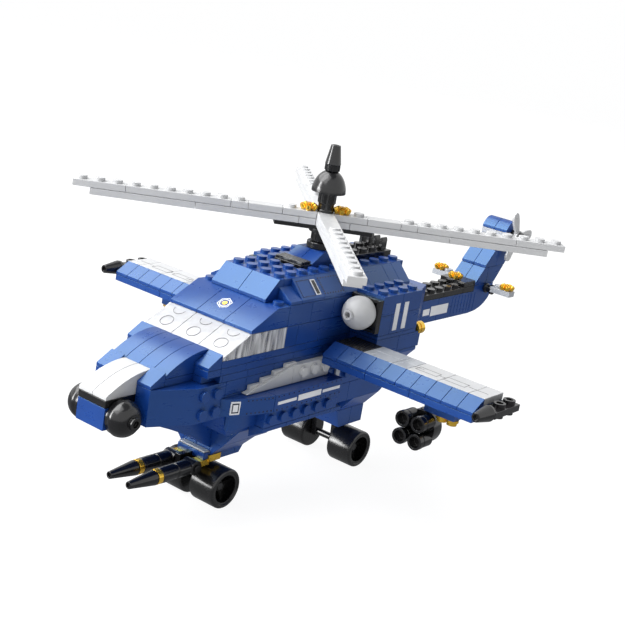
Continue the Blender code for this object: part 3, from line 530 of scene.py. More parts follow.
def make_cabin(blue, black, gold, white_print, dark_print):
    blue.panels([(2.005, 3), (2.005, 3 + LIP), (4, 6), (5, 6), (5, 3)], -3, 3, 2)
    blue.studs((-2.5, 2.5), (4.5,), 6)
    blue.row(-3, 3, [5, 6, 8, 10.5, 13, 15, 17], 0, 3)
    blue.row(-3, 3, [5, 7, 9, 11, 13, 17], 3, 6)
    blue.panels([(4, 6), (4, 6 + LIP), (5, 9), (5.4, 9), (5.4, 6)], -2, 2, 2)
    for x in (-2, 0):
        blue.row(x, x + 2, [5.4, 8, 11, 14, 17], 6, 9)
    for side in (1, -1):
        blue.slopes(side, [(2, 6), (3, 6), (3, 6 + LIP), (2, 8)], [5, 6])
        blue.slopes(side, [(2, 6), (3, 6), (3, 6 + LIP), (2, 9)], [6, 8, 10, 12.6, 14.6, 15.6, 16.6])
        make_hatch(black, white_print, dark_print, side)
    blue.panels(straight(9, 10, 9, 11, 12), -1, 1, 1)
    blue.studs((-1.5, -0.5, 0.5, 1.5), (5.5, 6.5, 7.5), 9)
    blue.studs((-1.5, 1.5), (8.5, 9.5, 10.5, 11.5, 13.5, 14.5, 15.5, 16.5), 9)
    # grille tile: a base with four raised bars
    black.brick(-1, 1, 8, 9, 9, 9.55)
    for i in range(4):
        y = 8.06 + 0.235 * i
        black.brick(-0.97, 0.97, y, y + 0.15, 9.5, 10, FINE)
    # plate with two clips
    black.brick(-1, 1, 13, 17, 9, 10)
    black.studs((-0.5, 0.5), (13.5, 14.5, 15.5), 10)
    for x in (-0.5, 0.5):
        black.brick(x - 0.38, x + 0.38, 16.05, 16.55, 10, 10.45, FINE)
        for jaw in (x - 0.26, x + 0.26):
            clip = [(jaw - 0.11, 10.3), (jaw - 0.11, 11.6), (jaw - 0.05, 12.0), (jaw + 0.05, 12.0),
                    (jaw + 0.11, 11.6), (jaw + 0.11, 10.3)]
            black.across_y(clip, 16.03, 16.57, FINE)
    # plain badge of rings round a dot on the middle roof panel
    middle = Vector((0, gy(3.05), gz(3 + LIP + (3 - LIP) * 0.525))) - SLOPE_OUT * SEAM
    white_print.turned(block(0.0032, 0.0036, -0.0001, 0.00012), middle, SLOPE_OUT, 6)
    white_print.turned(block(0.0021, 0.0025, -0.0001, 0.00012), middle, SLOPE_OUT, 32)
    gold.turned(block(0, 0.0012, -0.0001, 0.00014), middle, SLOPE_OUT, 24)


def make_hatch(black, white_print, dark_print, side):
    """Panel outline, slot and rows of dots on the printed roof slopes."""
    rise = Vector((-side * STUD, 0, (3 - LIP) * PLATE)).normalized()
    normal = Vector((side * rise.z, 0, -side * rise.x))
    foot = Vector((side * gx(3), 0, gz(6 + LIP))) - normal * SEAM * 0.6

    def spot(y, a):
        """A point on the slope, y in studs and a in metres up the slope."""
        return foot + rise * a + Vector((0, gy(y), 0))

    def patch(piece, y0, y1, a0, a1, over=0.00008):
        piece.slab([spot(y, a) for y, a in block(y0, y1, a0, a1)], normal, 0.0001, over)

    line = 0.00022
    low, high, y0, y1 = 0.0013, 0.0095, 6.18, 7.3
    patch(dark_print, y0, y1, low, low + line)
    patch(dark_print, y0, y1, high - line, high)
    patch(dark_print, y0, y0 + line / STUD, low, high)
    patch(dark_print, y1 - line / STUD, y1, low, high)
    patch(white_print, 7.38, 7.8, 0.0014, 0.0092)
    patch(black, 7.45, 7.73, 0.0019, 0.0087, 0.0002)
    dots = [spot(8.15 + i * 0.245, a) for i in range(8) for a in (0.0014, 0.0093)]
    dots += [spot(y, 0.0014 + 0.0079 * i / 7) for i in range(1, 7) for y in (8.15, 9.87)]
    dark_print.rivets(dots, normal)


def make_pod(side, blue, grey):
    """A printed pod along the hull, with a studded course under it."""
    front = [(3, 0.3), (3.18, 0.52), (3.35, 0.8), (3.53, 1.2), (3.7, 1.7), (3.87, 2.3), (4.0, 2.9), (4.12, 3.5),
             (3, 3.5)]
    blue.across_z(flipped(front, side), -7.75, -5.25)
    blue.across_z(flipped([(3, 3.5), (4.13, 3.5), (4.15, 4), (4.15, 9.5), (3, 9.5)], side), -7.75, -5.25)
    lower = [(3, 0.9), (3.2, 0.95), (3.32, 1.3), (3.4, 1.9), (3.4, 3.1), (3, 3.1)]
    blue.across_z(flipped(lower, side), -10, -7.75)
    blue.row(side * 3, side * 4, [3, 7, 9.5], -10, -7.75)
    blue.side_studs(4, side, spots(3, 9), (-8.85,))
    blue.slopes(side, [(3, -12), (4, -10.6), (4, -10), (3, -10)], [3, 5, 7, 9, 10])
    blue.side_studs(3, side, (11.4, 12.4), (-6.3,))
    grey.brick(side * 3, side * 3.15, 10.15, 10.55, -8.6, -4.6, SMALL)


def make_pod_marks(side, white_print, dark_print):
    """A plain square, plain bars and rows of dots."""
    along = Vector((side * 0.17, 0.5, 0)).normalized()
    outward = Vector((side * 0.5, -0.17, 0)).normalized()
    centre = Vector((side * gx(3.46), gy(1.02), gz(-6.5))) + outward * 0.00002
    for piece, width, height, over in ((white_print, 0.0023, 0.0029, 0.00018), (dark_print, 0.0017, 0.0022, 0.00024),
                                       (white_print, 0.0012, 0.0016, 0.0003)):
        corners = [centre + along * w + Vector((0, 0, h)) for w, h in block(-width, width, -height, height)]
        piece.slab(corners, outward, 0.0003, over)
    for a, b, h0, h1 in ((3.75, 5.35, -6.75, -6.3), (5.5, 7.55, -6.95, -6.1), (7.7, 9.3, -6.75, -6.3)):
        white_print.brick(side * 4.13, side * 4.158, a, b, h0, h1, MARK)
    sunk = 0.00006
    near = []
    for y in [1.75 + i * 0.26 for i in range(7)]:
        x = 4.0 + (y - 2.9) * 0.2 if y > 2.9 else 3.70 + (y - 1.7) * 0.25
        near += [(side * (gx(x) - sunk), gy(y), gz(h)) for h in (-7.4, -5.6)]
    dark_print.rivets(near, (side, -0.3, 0))
    far = [(side * (gx(4.15) - sunk), gy(3.75 + i * 0.43), gz(h)) for i in range(14) for h in (-7.45, -5.55)]
    dark_print.rivets(far, (side, 0, 0), 0.0004)


def make_side_wedges():
    white = Piece("side_wedges", WHITE, "white_plastic", [*pair("side_wedge")])
    for side in (1, -1):
        for panel in ([(1.9, -5.2), (5.7, -5.2), (5.7, -2.5), (1.9, -5.05)], block(5.7, 6.5, -5.2, -2.5),
                      block(6.5, 9, -5.2, -2.5)):
            white.across_x(panel, side * 3, side * 3.4)
        for k in range(4):
            y, far = 2.3 + 0.95 * k, 2.3 + 0.95 * k + 0.95
            top = -5.05 + (far - 1.9) * 0.67
            white.across_x(block(y, far, -5.15, top), side * 3, side * 3.24, 5 * MARK)
        white.side_studs(3.4, side, (6.5, 7.5, 8.5), (-3.7,))
    white.finish()


def make_wings(blue, black, gold, grey_print):
    inner = Piece("wing_inner_tiles", GREY, "light_grey_plastic")
    white = Piece("wing_outer_tiles", WHITE, "white_plastic", [*pair("wing_tiles")])
    for side in (1, -1):
        for k in range(10):
            blue.across_x([(8, -2), (8, -1.5), (9, 0), (9, -2)], side * (3.5 + k), side * (4.5 + k))
        blue.span(side, [3.5, 6.5, 9.5, 13.5], 8, 11, -3, -2)
        blue.span(side, [3.5, 6.5, 9.5, 13.5], 9, 11, -2, -1)
        blue.slopes(side, [(3, -4.5), (4.5, -4.5), (8, -3), (3, -3)], [9.6, 11])
        # grille tile with eight raised bars
        black.brick(side * 3.5, side * 5.5, 9, 11, -1, -0.5)
        for i in range(8):
            y = 9.06 + i * 0.245
            black.brick(side * 3.53, side * 5.47, y, y + 0.15, -0.55, 0, FINE)
        inner.span(side, [5.5, 7.5, 8.5], 9, 10, -1, 0)
        inner.span(side, [5.5, 7.5, 8.5], 10, 11, -1, 0)
        white.span(side, [8.5, 10.5, 12.5, 13.5], 9, 11, -1, 0)
        # thin outline print on the outer tiles
        line = 0.045
        lines = [(8.5, 9.1, 9.8, 9.8 + line), (12.0, 13.2, 9.8, 9.8 + line), (10.1, 10.5, 9.8, 9.8 + line)]
        for a, b, c, d in ((8.7, 10.1, 9.5, 10.1), (10.5, 11.9, 9.5, 10.1)):
            lines += [(a, b, c, c + line), (a, b, d - line, d), (a, a + line, c, d), (b - line, b, c, d)]
        for x0, x1, y0, y1 in lines:
            grey_print.brick(side * x0, side * x1, y0, y1, -0.1, -0.012, MARK / 2)
        # tip with a cone and two open studs, and a pylon with gold studs under it
        black.brick(side * 13.5, side * 14.45, 8.65, 11.3, -2, -1)
        collar, end = STUD * 0.2, STUD * 0.2 + 3 * PLATE
        cone = [(0, 0), (STUD * 0.42, 0), (STUD * 0.42, collar * 0.6), (STUD * 0.455, collar), (STUD * 0.255, end),
                (STUD * 0.15, end), (STUD * 0.15, end - 0.0012), (0, end - 0.0012)]
        black.turned(cone, (side * gx(14), gy(8.8), gz(-1.4)), (0, -1, 0))
        for y in (9.75, 10.8):
            black.tube((side * gx(14), gy(y), gz(-1.3)), UP, STUD * 0.19, STUD * 0.34, PLATE * 0.85)
            black.tube((side * gx(14), gy(y), gz(-2.5)), UP, STUD * 0.19, STUD * 0.32, PLATE * 0.6)
        blue.brick(side * 9.3, side * 11.3, 10.2, 11, -4, -3)
        blue.brick(side * 9.3, side * 11.3, 10.2, 11, -6, -4)
        hollow = [(0, 0), (0.0029, 0), (0.0029, 0.0012), (0.0023, 0.0012), (0.0023, 0.0026), (0.0014, 0.0026),
                  (0.0014, 0.0012), (0, 0.0012)]
        for x in (10.35, 11.0):
            gold.turned(hollow, (side * gx(x), gy(10.6), gz(-6)), (0, 0, -1), 32)
    inner.finish()
    white.finish()


def make_rocket_pods():
    pods = Piece("rocket_pods", BLACK, "black_plastic", [*pair("rocket_pod")])
    barrel, length, back_end = 0.0037, STUD * 1.2, 0.0001
    bore, muzzle = barrel * 0.7, length - 0.004
    drum, swell = DOME_RADIUS * 0.99, STUD * 0.45
    body = [(0, back_end), *arc((0, swell + back_end), (drum, swell), -90, 0, 6)[1:], (drum, length), (0, length)]
    tube = [(0, 0), (barrel - 0.0002, 0), (barrel - 0.0002, length * 0.62), (barrel * 0.84, length * 0.64),
            (barrel * 0.84, length * 0.7), (barrel, length * 0.72), (barrel, length), (bore, length),
            (bore, muzzle), (0, muzzle)]
    spacing = 2 * barrel + 3 * GAP
    for side in (1, -1):
        centre_z = gz(-6 - GAP / PLATE) - DOME_RADIUS
        back = Vector((side * gx(9.2), gy(11.5), centre_z))
        pods.turned(body, back, (0, -1, 0), 48)
        for dx, dz in block(-0.5, 0.5, -0.5, 0.5):
            start = back + Vector((dx * spacing, -length + 0.0006, dz * spacing))
            pods.turned(tube, start, (0, -1, 0), 36)
        pods.drum((side * gx(9.2), gy(10.7), centre_z + DOME_RADIUS * 0.9), UP, STUD_RADIUS, 0.001)
    pods.finish()


def make_engines(blue, black, gold, white_print):
    white = Piece("intake_cones", WHITE, "white_plastic", [*pair("intake_dome")])
    shoulder, rise = DOME_RADIUS * 0.45, DOME_RADIUS * 0.95
    dome, face, bore = DOME_RADIUS * 0.98, shoulder + rise * 0.97, STUD_RADIUS * 0.6
    intake = [(0, 0), (DOME_RADIUS * 0.9, 0), (DOME_RADIUS * 0.96, shoulder * 0.6), (dome, shoulder),
              *arc((0, shoulder), (dome, rise), 0, 88, 14)[1:-1],
              (STUD_RADIUS, face), (STUD_RADIUS, face + STUD_HEIGHT), (bore, face + STUD_HEIGHT),
              (bore, face - 0.003), (0, face - 0.003)]
    stub = [(0, 0), (0.0034, 0), (0.0034, 0.0018), (0.0022, 0.0020), (0.0022, 0.0030), (0.0031, 0.0032),
            (0.0031, 0.0060), (0.0016, 0.0060), (0.0016, 0.0045), (0, 0.0045)]
    for side in (1, -1):
        blue.row(side * 3, side * 5, [11, 13, 15], 4, 7)
        blue.row(side * 3, side * 5, [11, 12.1, 15], 1, 4)
        blue.row(side * 3, side * 5, [11, 13.3, 15.6], -2, 0.4)
        blue.brick(side * 3, side * 5, 11, 15, 0.4, 1)
        blue.slopes(side, [(3, -6), (3.8, -6), (5, -2.5), (5, -2), (3, -2)], [11, 13, 15.4])
        blue.studs((side * 3.5, side * 4.5), spots(11, 15), 7)
        # plain white bars in place of a number
        for y in (12.35, 13.25):
            white_print.brick(side * 4.98, side * 5.012, y, y + 0.42, 1.5, 5.6, MARK)
        # intake frame: two posts, two bars and a back plate
        for x0, x1, y0, z0, z1 in ((3, 3.22, 10.6, 1.5, 6.5), (4.78, 5, 10.6, 1.5, 6.5), (3.2, 4.8, 10.6, 6.0, 6.5),
                                   (3.2, 4.8, 10.6, 1.5, 2.0), (3.1, 4.9, 10.75, 1.7, 6.3)):
            black.brick(side * x0, side * x1, y0, 11, z0, z1, SMALL)
        white.turned(intake, (side * gx(4), gy(10.6) - GAP, gz(4.2)), (0, -1, 0), 56)
        gold.turned(stub, (side * gx(4.6), gy(15.35), gz(0.5)), (0, 1, 0), 32)
    white.finish()


# ------------------------ tail
def make_tail(blue, black, grey, gold, white_print):
    for z0, z1 in ((-2, 3), (-5, -2)):
        blue.across_z([(-3, 17), (3, 17), (1, 22), (-1, 22)], z0, z1)
    blue.panels([(17, -8), (19, -5), (17, -5)], -2.4, 2.4, 2.4)
    blue.panels([(17, 3), (17, 7), (19, 3.5), (19, 3)], -1, 1, 1)
    blue.panels([(19, 0), (19, 3.5), (21.9, 0.6), (21.9, 0)], -1, 1, 1)
    blue.row(-1, 1, [22, 24, 26, 28.2], -2, 0)
    blue.row(-1, 1, [22, 24, 26, 28.2], -4, -2)
    heel = [(28.2, -4), (29.2, -3.75), (29.8, -3.3), (30.3, -2.7), (30.7, -1.9), (31.0, -0.9), (31.1, -0.2), (31.1, 1),
            (28.5, 1), (28.5, 0), (28.2, 0)]
    blue.across_x(heel, -1, 1)
    for side in (1, -1):
        for k in range(8):
            y = 25.8 + 0.42 * k
            blue.brick(side * 0.98, side * 1.012, y, y + 0.24, -3.5, -0.3, MARK)
        white_print.brick(side * 0.98, side * 1.012, 22.2, 23.0, -2.6, -1.5, MARK)
        white_print.brick(side * 0.98, side * 1.012, 23.15, 25.3, -2.9, -1.2, MARK)
    black.row(-1, 1, [22, 24.5, 27, 28.5], 0, 1)
    black.brick(-1, 1, 27, 28.5, 1, 2)
    black.studs((-0.5, 0.5), spots(22, 27), 1)
    flower(gold, Vector((0, gy(27.3), gz(2))))
    # fin: two slopes side by side in each of three rows, then a plate and a cap
    for row in range(3):
        y, z = 28.5 + row, 1 + 3 * row
        top = min(z + 3, 9)
        far = y + 3.6 if row < 2 else 33.8
        blue.panels([(y, z), (y, z + LIP), (y + 1, top), (y + 1.5, top), (y + 1.5, z)], -1, 1, 1)
        blue.across_x([(y + 1.5, z), (y + 1.5, top), (far, top), (y + 2.6, z)], -1, 1)
    grey.brick(-1, 1, 31.5, 33.5, 9, 10)
    blue.panels([(31.5, 10), (31.5, 10 + LIP), (31.8, 11.4), (32.1, 11.85), (32.5, 12), (32.5, 10)], -1, 1, 1)


def make_tail_rotor(black):
    centre = Vector((gx(1) + GAP / 2, gy(32.5), gz(9.5)))
    pin, flange, blade = 0.0014, STUD * 0.2, STUD * 0.3
    collar, head, socket = STUD * 0.42, STUD * 0.3, STUD * 0.14
    neck = flange + blade + 2 * GAP
    end, floor = neck + STUD * 0.16, neck + STUD * 0.16 * 0.4
    black.turned([(0, 0.0001), (collar, 0.0001), (collar, flange), (pin, flange), (pin, neck), (head, neck),
                  (head, end), (socket, end), (socket, floor), (0, floor)], centre, (1, 0, 0))
    screw = Piece("tail_rotor_blades", WHITE, "white_plastic", ["tail_rotor"], body="tail_rotor")
    foot = centre + Vector((flange + GAP, 0, 0))
    bore = pin + PLAY
    screw.tube(foot, (1, 0, 0), bore, collar, blade)
    root, wide, tip, narrow, half = bore + STUD * 0.12, STUD * 0.36, 0.0160, STUD * 0.2, 0.0003
    outline = [(-narrow, root), (-wide * 0.8, tip * 0.4), (-wide, tip * 0.6),
               *arc((0, tip - wide), (wide, wide), 180, 0, 12),
               (wide, tip * 0.6), (wide * 0.8, tip * 0.4), (narrow, root)]
    spine = [(-half, root), (-half, tip * 0.8), (half, tip * 0.8), (half, root)]
    for _ in screw.around(foot, "X", 3):
        screw.prism(outline, lambda z, y, x: (x, y, z), blade * 0.2, blade * 0.8, 2 * MARK)
        screw.prism(spine, lambda z, y, x: (x, y, z), blade * 0.7, blade * 0.92, 2 * MARK)
    screw.finish()


def make_stabiliser(side, suffix):
    """A leaf with a stud and a gold flower, on a link that swivels on its pin."""
    body = f"stabiliser_{suffix}"
    start, y, z = gx(1) + GAP, gy(30), gz(0.3)
    link = Piece(f"{body}_link", BLACK, "black_plastic", body=body)
    bore, thick = 0.0012 + PLAY, 0.0028
    link.turned([(bore, 0), (thick, 0), (thick, 0.0012), (0.0022, 0.0015), (0.0022, 0.0034), (thick, 0.0037),
                 (thick, 0.0052), (bore, 0.0052)], (side * start, y, z), (side, 0, 0))
    link.finish()
    leaf = Piece(f"{body}_leaf", GREY, "light_grey_plastic", [body], body=body)
    x0 = start + STUD * 0.62
    x1 = x0 + 0.0126
    low, middle = z - PLATE * 0.2, y - 0.0008
    leaf.prism(flipped(block(x0, x1, y - 0.0038, y + 0.0023), side), upright, low, low + PLATE * 0.98, FINE)
    leaf.stud((side * (x0 + 0.0036), middle, low + PLATE * 0.97))
    leaf.finish()
    nub = Piece(f"{body}_flower", GOLD, body=body)
    flower(nub, Vector((side * (x1 - 0.0038), middle, low + PLATE * 0.97)))
    nub.finish()


def flower(piece, foot):
    """A round gold plate with five petals and a ringed stud."""
    piece.turned(block(0, 0.0017, 0, 0.0012), foot, UP, 24)
    petal = [(0, 0), (0.00125, 0.0002), (0.0014, 0.0014), (0.0011, 0.0028), (0.0006, 0.0028), (0.0007, 0.0018),
             (0, 0.0018)]
    for k in range(5):
        angle = 2 * math.pi * k / 5 + 0.3
        at = foot + Vector((math.cos(angle), math.sin(angle), 0)) * 0.0022 + Vector((0, 0, 0.0004))
        out = Vector((math.cos(angle) * 0.55, math.sin(angle) * 0.55, 1))
        piece.turned(petal, at, out, 14)
    ring = [(0, 0.001), (0.0015, 0.001), (0.0015, 0.0034), (0.0009, 0.0034), (0.0009, 0.0026), (0, 0.0026)]
    piece.turned(ring, foot, UP, 20)


# ------------------------ rotor
MAST = Vector((0, gy(MAST_Y), 0))
MAST_PIN = 0.0024
BASE_FOOT, BASE_HEAD = gz(11) + GAP / 2, gz(12) - GAP / 2
BOARD_LOW, BLADE_LOW, BLADE_HIGH = 13.8, 14.4, 16.4     # plates, the hub plate being just under the blades
COLLAR_Z = gz(13.4)
HALF = STUD / 2


def make_mast_base(black):
    bore, wide = MAST_PIN + PLAY, 0.0062
    black.turned([(0, BASE_FOOT), (wide, BASE_FOOT), (wide, BASE_HEAD - 0.0003), (0.0059, BASE_HEAD),
                  (bore, BASE_HEAD), (bore, BASE_FOOT + GAP), (0, BASE_FOOT + GAP)], MAST, UP, 48)


def make_rotor():
    white = Piece("rotor_blades", WHITE, "white_plastic", ["rotor_spar", *pair("rotor_arm")], body="rotor")
    gold = Piece("rotor_flowers", GOLD, body="rotor")
    turn = Matrix.Translation(MAST) @ Matrix.Rotation(ROTOR_YAW, 4, "Z")
    middle, seat = (BLADE_HIGH + BLADE_LOW) / 2, gz(BLADE_HIGH) - SEAM

    def bars(seams, low, high):
        for first, last in zip(seams, seams[1:]):
            tip = GAP / 2 - SEAM if last == ROTOR_REACH else 0
            white.prism(block(first * STUD, last * STUD - tip, -HALF, HALF), upright, gz(low), gz(high))

    for arm in range(4):
        white.turn = turn @ Matrix.Rotation(math.radians(90 * arm), 4, "Z")
        bars([0.5, 2.5, 4.5, 5.5, 11.5, ROTOR_REACH], middle, BLADE_HIGH)
        bars([0.5, 1.5, 7.5, 13.5], BLADE_LOW, middle)
        for reach in range(5, 15):
            white.stud((reach * STUD, 0, seat))
        if arm % 2 == FLOWER_ARMS:
            white.stud((2 * STUD, 0, seat))
            flower(gold, white.turn @ Vector((STUD * 0.98, 0, seat)))
    white.turn = turn
    for low, high in ((BLADE_LOW, middle), (middle, BLADE_HIGH)):
        white.prism(block(-HALF, HALF, -HALF, HALF), upright, gz(low), gz(high))
    white.finish()
    gold.finish(0)
    make_hub(turn)


def make_hub(turn):
    """The mast with its collar and plate, and the dome and cone on top of the blades."""
    dark = Piece("rotor_hub", BLACK, "black_plastic",
                 ["rotor_mast", "rotor_hub_plate", "rotor_dome", "rotor_cone"], "rotor")
    dark.turn = turn
    board = 2.9 * STUD
    dark.prism(block(-board, board, -HALF, HALF), upright, gz(BOARD_LOW), gz(BLADE_LOW))
    dark.turn = Matrix.Identity(4)
    dark.drum(MAST + Vector((0, 0, COLLAR_Z)), UP, 0.0062, 0.5 * PLATE)
    low, shoulder, high = BASE_FOOT + 2 * GAP, BASE_HEAD + GAP, COLLAR_Z - 0.00015
    dark.turned([(0, low), (MAST_PIN, low), (MAST_PIN, shoulder), (MAST_RADIUS, shoulder), (MAST_RADIUS, high),
                 (0, high)], MAST, UP)
    dark.ribs(MAST, MAST_RADIUS, BASE_HEAD + 0.0008, COLLAR_Z - 0.0004, 12)
    # dome: a hollow bell on a ribbed column
    top = gz(BLADE_HIGH)
    rim, rise, wall, sweep = top + 2.9 * PLATE, 3.15 * PLATE, DOME_RADIUS * 0.16, 72
    column, waist = 0.0042 * 0.95, 0.0042 * 0.95 * 0.92
    shell = arc((0, rim), (DOME_RADIUS, rise / math.sin(math.radians(sweep))), 0, sweep, 14)
    inside = [((DOME_RADIUS - wall) * math.cos(math.radians(a)), rim + (rise - wall) * math.sin(math.radians(a)))
              for a in (50, 38, 25, 12, 0)]
    dark.turned([(0, top), (column, top), (column, top + 0.0009), (waist, top + 0.0012), (waist, top + 0.0036),
                 (column, top + 0.0040), (column, rim + PLATE), *inside, *shell, (0, rim + rise)], MAST, UP, 56)
    dark.ribs(MAST, column, top + 0.0042, rim + 0.001, 10)
    # cone with four ribs round its collar and a hollow tip
    foot = rim + rise
    collar, tip = foot + 0.9 * PLATE, foot + 3.65 * PLATE + GAP
    neck, brim, end, bore = STUD * 0.42, STUD * 0.47, STUD * 0.28, STUD * 0.17
    dark.turned([(0, foot), (neck, foot), (neck, collar), (brim, collar + 0.0002), (end, tip), (bore, tip),
                 (bore, tip - 0.0012), (0, tip - 0.0012)], MAST, UP)
    for _ in dark.around(MAST, "Z", 4, 20):
        dark.prism(block(STUD * 0.40, STUD * 0.46, foot + 0.0001, collar), lengthwise, -0.0006, 0.0006, FINE)
    dark.finish()


# ------------------------ wheels and guns
WHEEL_RADIUS, WHEEL_WIDTH, WHEEL_PIN = 0.0094, 0.0144, 0.0018


def make_gear():
    carrier = Piece("wheel_carriers", BLACK, "black_plastic", ["nose_wheel_carrier", "rear_wheel_carrier"])
    strut = STUD * 0.28
    make_axle(carrier, "nose_wheel", 3.0, strut + GAP, [(-strut, strut)], -17.5)
    out, near = STUD * 0.95, STUD * 0.55
    make_axle(carrier, "rear_wheel", 14.8, out + GAP, [(near, out), (-out, -near)], -17)
    carrier.finish()


def make_axle(carrier, name, y, inner, struts, top):
    """Struts down to an axle, with a wheel on each end. inner is where the wheels start."""
    middle, wide, narrow = gy(y), STUD * 0.45, STUD * 0.3
    foot = WHEEL_RADIUS - narrow
    outline = [(middle - wide, gz(top)), (middle + wide, gz(top)), (middle + narrow, foot + 0.0012),
               (middle + narrow * 0.6, foot), (middle - narrow * 0.6, foot), (middle - narrow, foot + 0.0012)]
    for x0, x1 in struts:
        carrier.prism(outline, sideways, x0 + GAP / 2, x1 - GAP / 2, SMALL)
    reach = inner + WHEEL_WIDTH * 0.75
    carrier.drum((-reach, middle, WHEEL_RADIUS), (1, 0, 0), WHEEL_PIN - 0.00002, 2 * reach)
    for side, suffix in ((1, "port"), (-1, "starboard")):
        make_wheel(f"{name}_{suffix}", side, Vector((side * inner, middle, WHEEL_RADIUS)))


def make_wheel(body, side, hub):
    """A wide tyre with a deep dish, a ring, a boss and six spokes in it."""
    wheel = Piece(f"{body}_tyre", TYRE, "black_tyre", [body], body=body)
    bore, outer = WHEEL_PIN + PLAY, WHEEL_RADIUS - 0.00006
    dish, floor, edge = WHEEL_RADIUS * 0.79, WHEEL_WIDTH / 2, 0.0011
    profile = [(bore, 0), (WHEEL_RADIUS * 0.86, 0), *arc((outer - edge, edge), (edge, edge), -90, 0, 4),
               *arc((outer - edge, WHEEL_WIDTH - edge), (edge, edge), 0, 90, 4), (dish + 0.0003, WHEEL_WIDTH),
               (dish, WHEEL_WIDTH - 0.0005), (dish, floor), (bore, floor)]
    wheel.turned(profile, hub, (side, 0, 0), 64)
    ring, boss = [hub + Vector((side * x, 0, 0)) for x in (WHEEL_WIDTH - 0.0014, floor - 0.0003)]
    wheel.tube(ring, (side, 0, 0), dish - 0.0009, dish + 0.0002, 0.0010, 56)
    wheel.tube(boss, (side, 0, 0), bore, STUD * 0.3, 0.0030, 32)
    root, tip = STUD * 0.32, dish + 0.0002
    spoke = [(root, -0.0005), (tip, -0.0007), (tip, 0.0007), (root, 0.0005)]
    for _ in wheel.around(hub, "X", 6):
        wheel.prism(spoke, sideways, side * (floor - 0.0003), side * (floor + 0.0016), FINE)
    wheel.finish(0.00012)


GUN_BAR = Vector((0, gy(1.35), gz(-17.6)))
GUN_BAR_RADIUS = 0.0015


def make_gun_bracket(gold):
    mount = Piece("gun_bracket", BLACK, "black_plastic", ["gun_mount"])
    half = STUD * 1.25
    for x in (-0.2, -0.03):
        mount.brick(x, x + 0.2, 1, 2.4, -18, -16.3, FINE)
    mount.drum((-half, GUN_BAR.y, GUN_BAR.z), (1, 0, 0), GUN_BAR_RADIUS, 2 * half, 28)
    mount.finish()
    for name, look, slot, *place in (("chin_strip", GREY, "light_grey_plastic", -0.97, 0.97, 2.02, 2.4, -15.88, -15.6),
                                     ("chin_sill", BLUE, "blue_plastic", -1, 1, 1.98, 2.4, -16.9, -15.9)):
        plate = Piece(name, look, slot)
        plate.brick(*place, SMALL)
        plate.finish()
    for side in (1, -1):
        gold.brick(side * 0.42, side * 1.05, 1.72, 2.5, -17.75, -16.88, SMALL)
        gold.tube((side * gx(0.72), gy(1.72), gz(-17.3)), (0, -1, 0), 0.0008, 0.0015, 0.0012, 20)


def make_gun(side, suffix):
    """A stepped barrel and a cone, with a gold ring between them, hung on the bracket's bar."""
    body = f"gun_{suffix}"
    width, inner = STUD * 0.85, STUD * 0.3
    radius, tip = 0.0035, 0.0376
    waist, thin, bore = radius * 0.9, radius * 0.88, radius * 0.28
    start = GUN_BAR + Vector((side * (inner + width / 2), 0, 0))
    dark = Piece(f"{body}_barrel", BLACK, "black_plastic", [body], body=body)
    dark.tube(GUN_BAR + Vector((side * inner, 0, 0)), (side, 0, 0), GUN_BAR_RADIUS + PLAY, 0.0033, width, 32)
    dark.turned([(0, 0.0022), (waist, 0.0022), (waist, 0.0030), (radius, 0.0032), (radius, 0.0100), (thin, 0.0102),
                 (thin, 0.0108), (radius, 0.0110), (radius, 0.0196), (waist, 0.0198), (0, 0.0198)], start, (0, -1, 0))
    dark.turned([(0, 0.0226), (waist, 0.0226), (radius * 0.98, 0.0232), (radius * 0.47, tip), (bore, tip),
                 (bore, tip - 0.0012), (0, tip - 0.0012)], start, (0, -1, 0))
    for _ in dark.around(start, "Y", 8):
        dark.prism(block(radius - 0.0003, radius + 0.0001, -0.0185, -0.0120), upright, -0.0003, 0.0003, MARK)
    dark.finish()
    ring = Piece(f"{body}_ring", GOLD, body=body)
    ring.turned([(radius * 0.55, 0.0199), (radius * 0.97, 0.0199), (radius * 0.99, 0.0212), (radius * 0.97, 0.0225),
                 (radius * 0.55, 0.0225)], start, (0, -1, 0))
    for _ in ring.around(start, "Y", 10):
        ring.prism(block(radius * 0.93, radius, -0.0223, -0.0201), upright, -0.0004, 0.0004, MARK)
    ring.finish(0.00008)


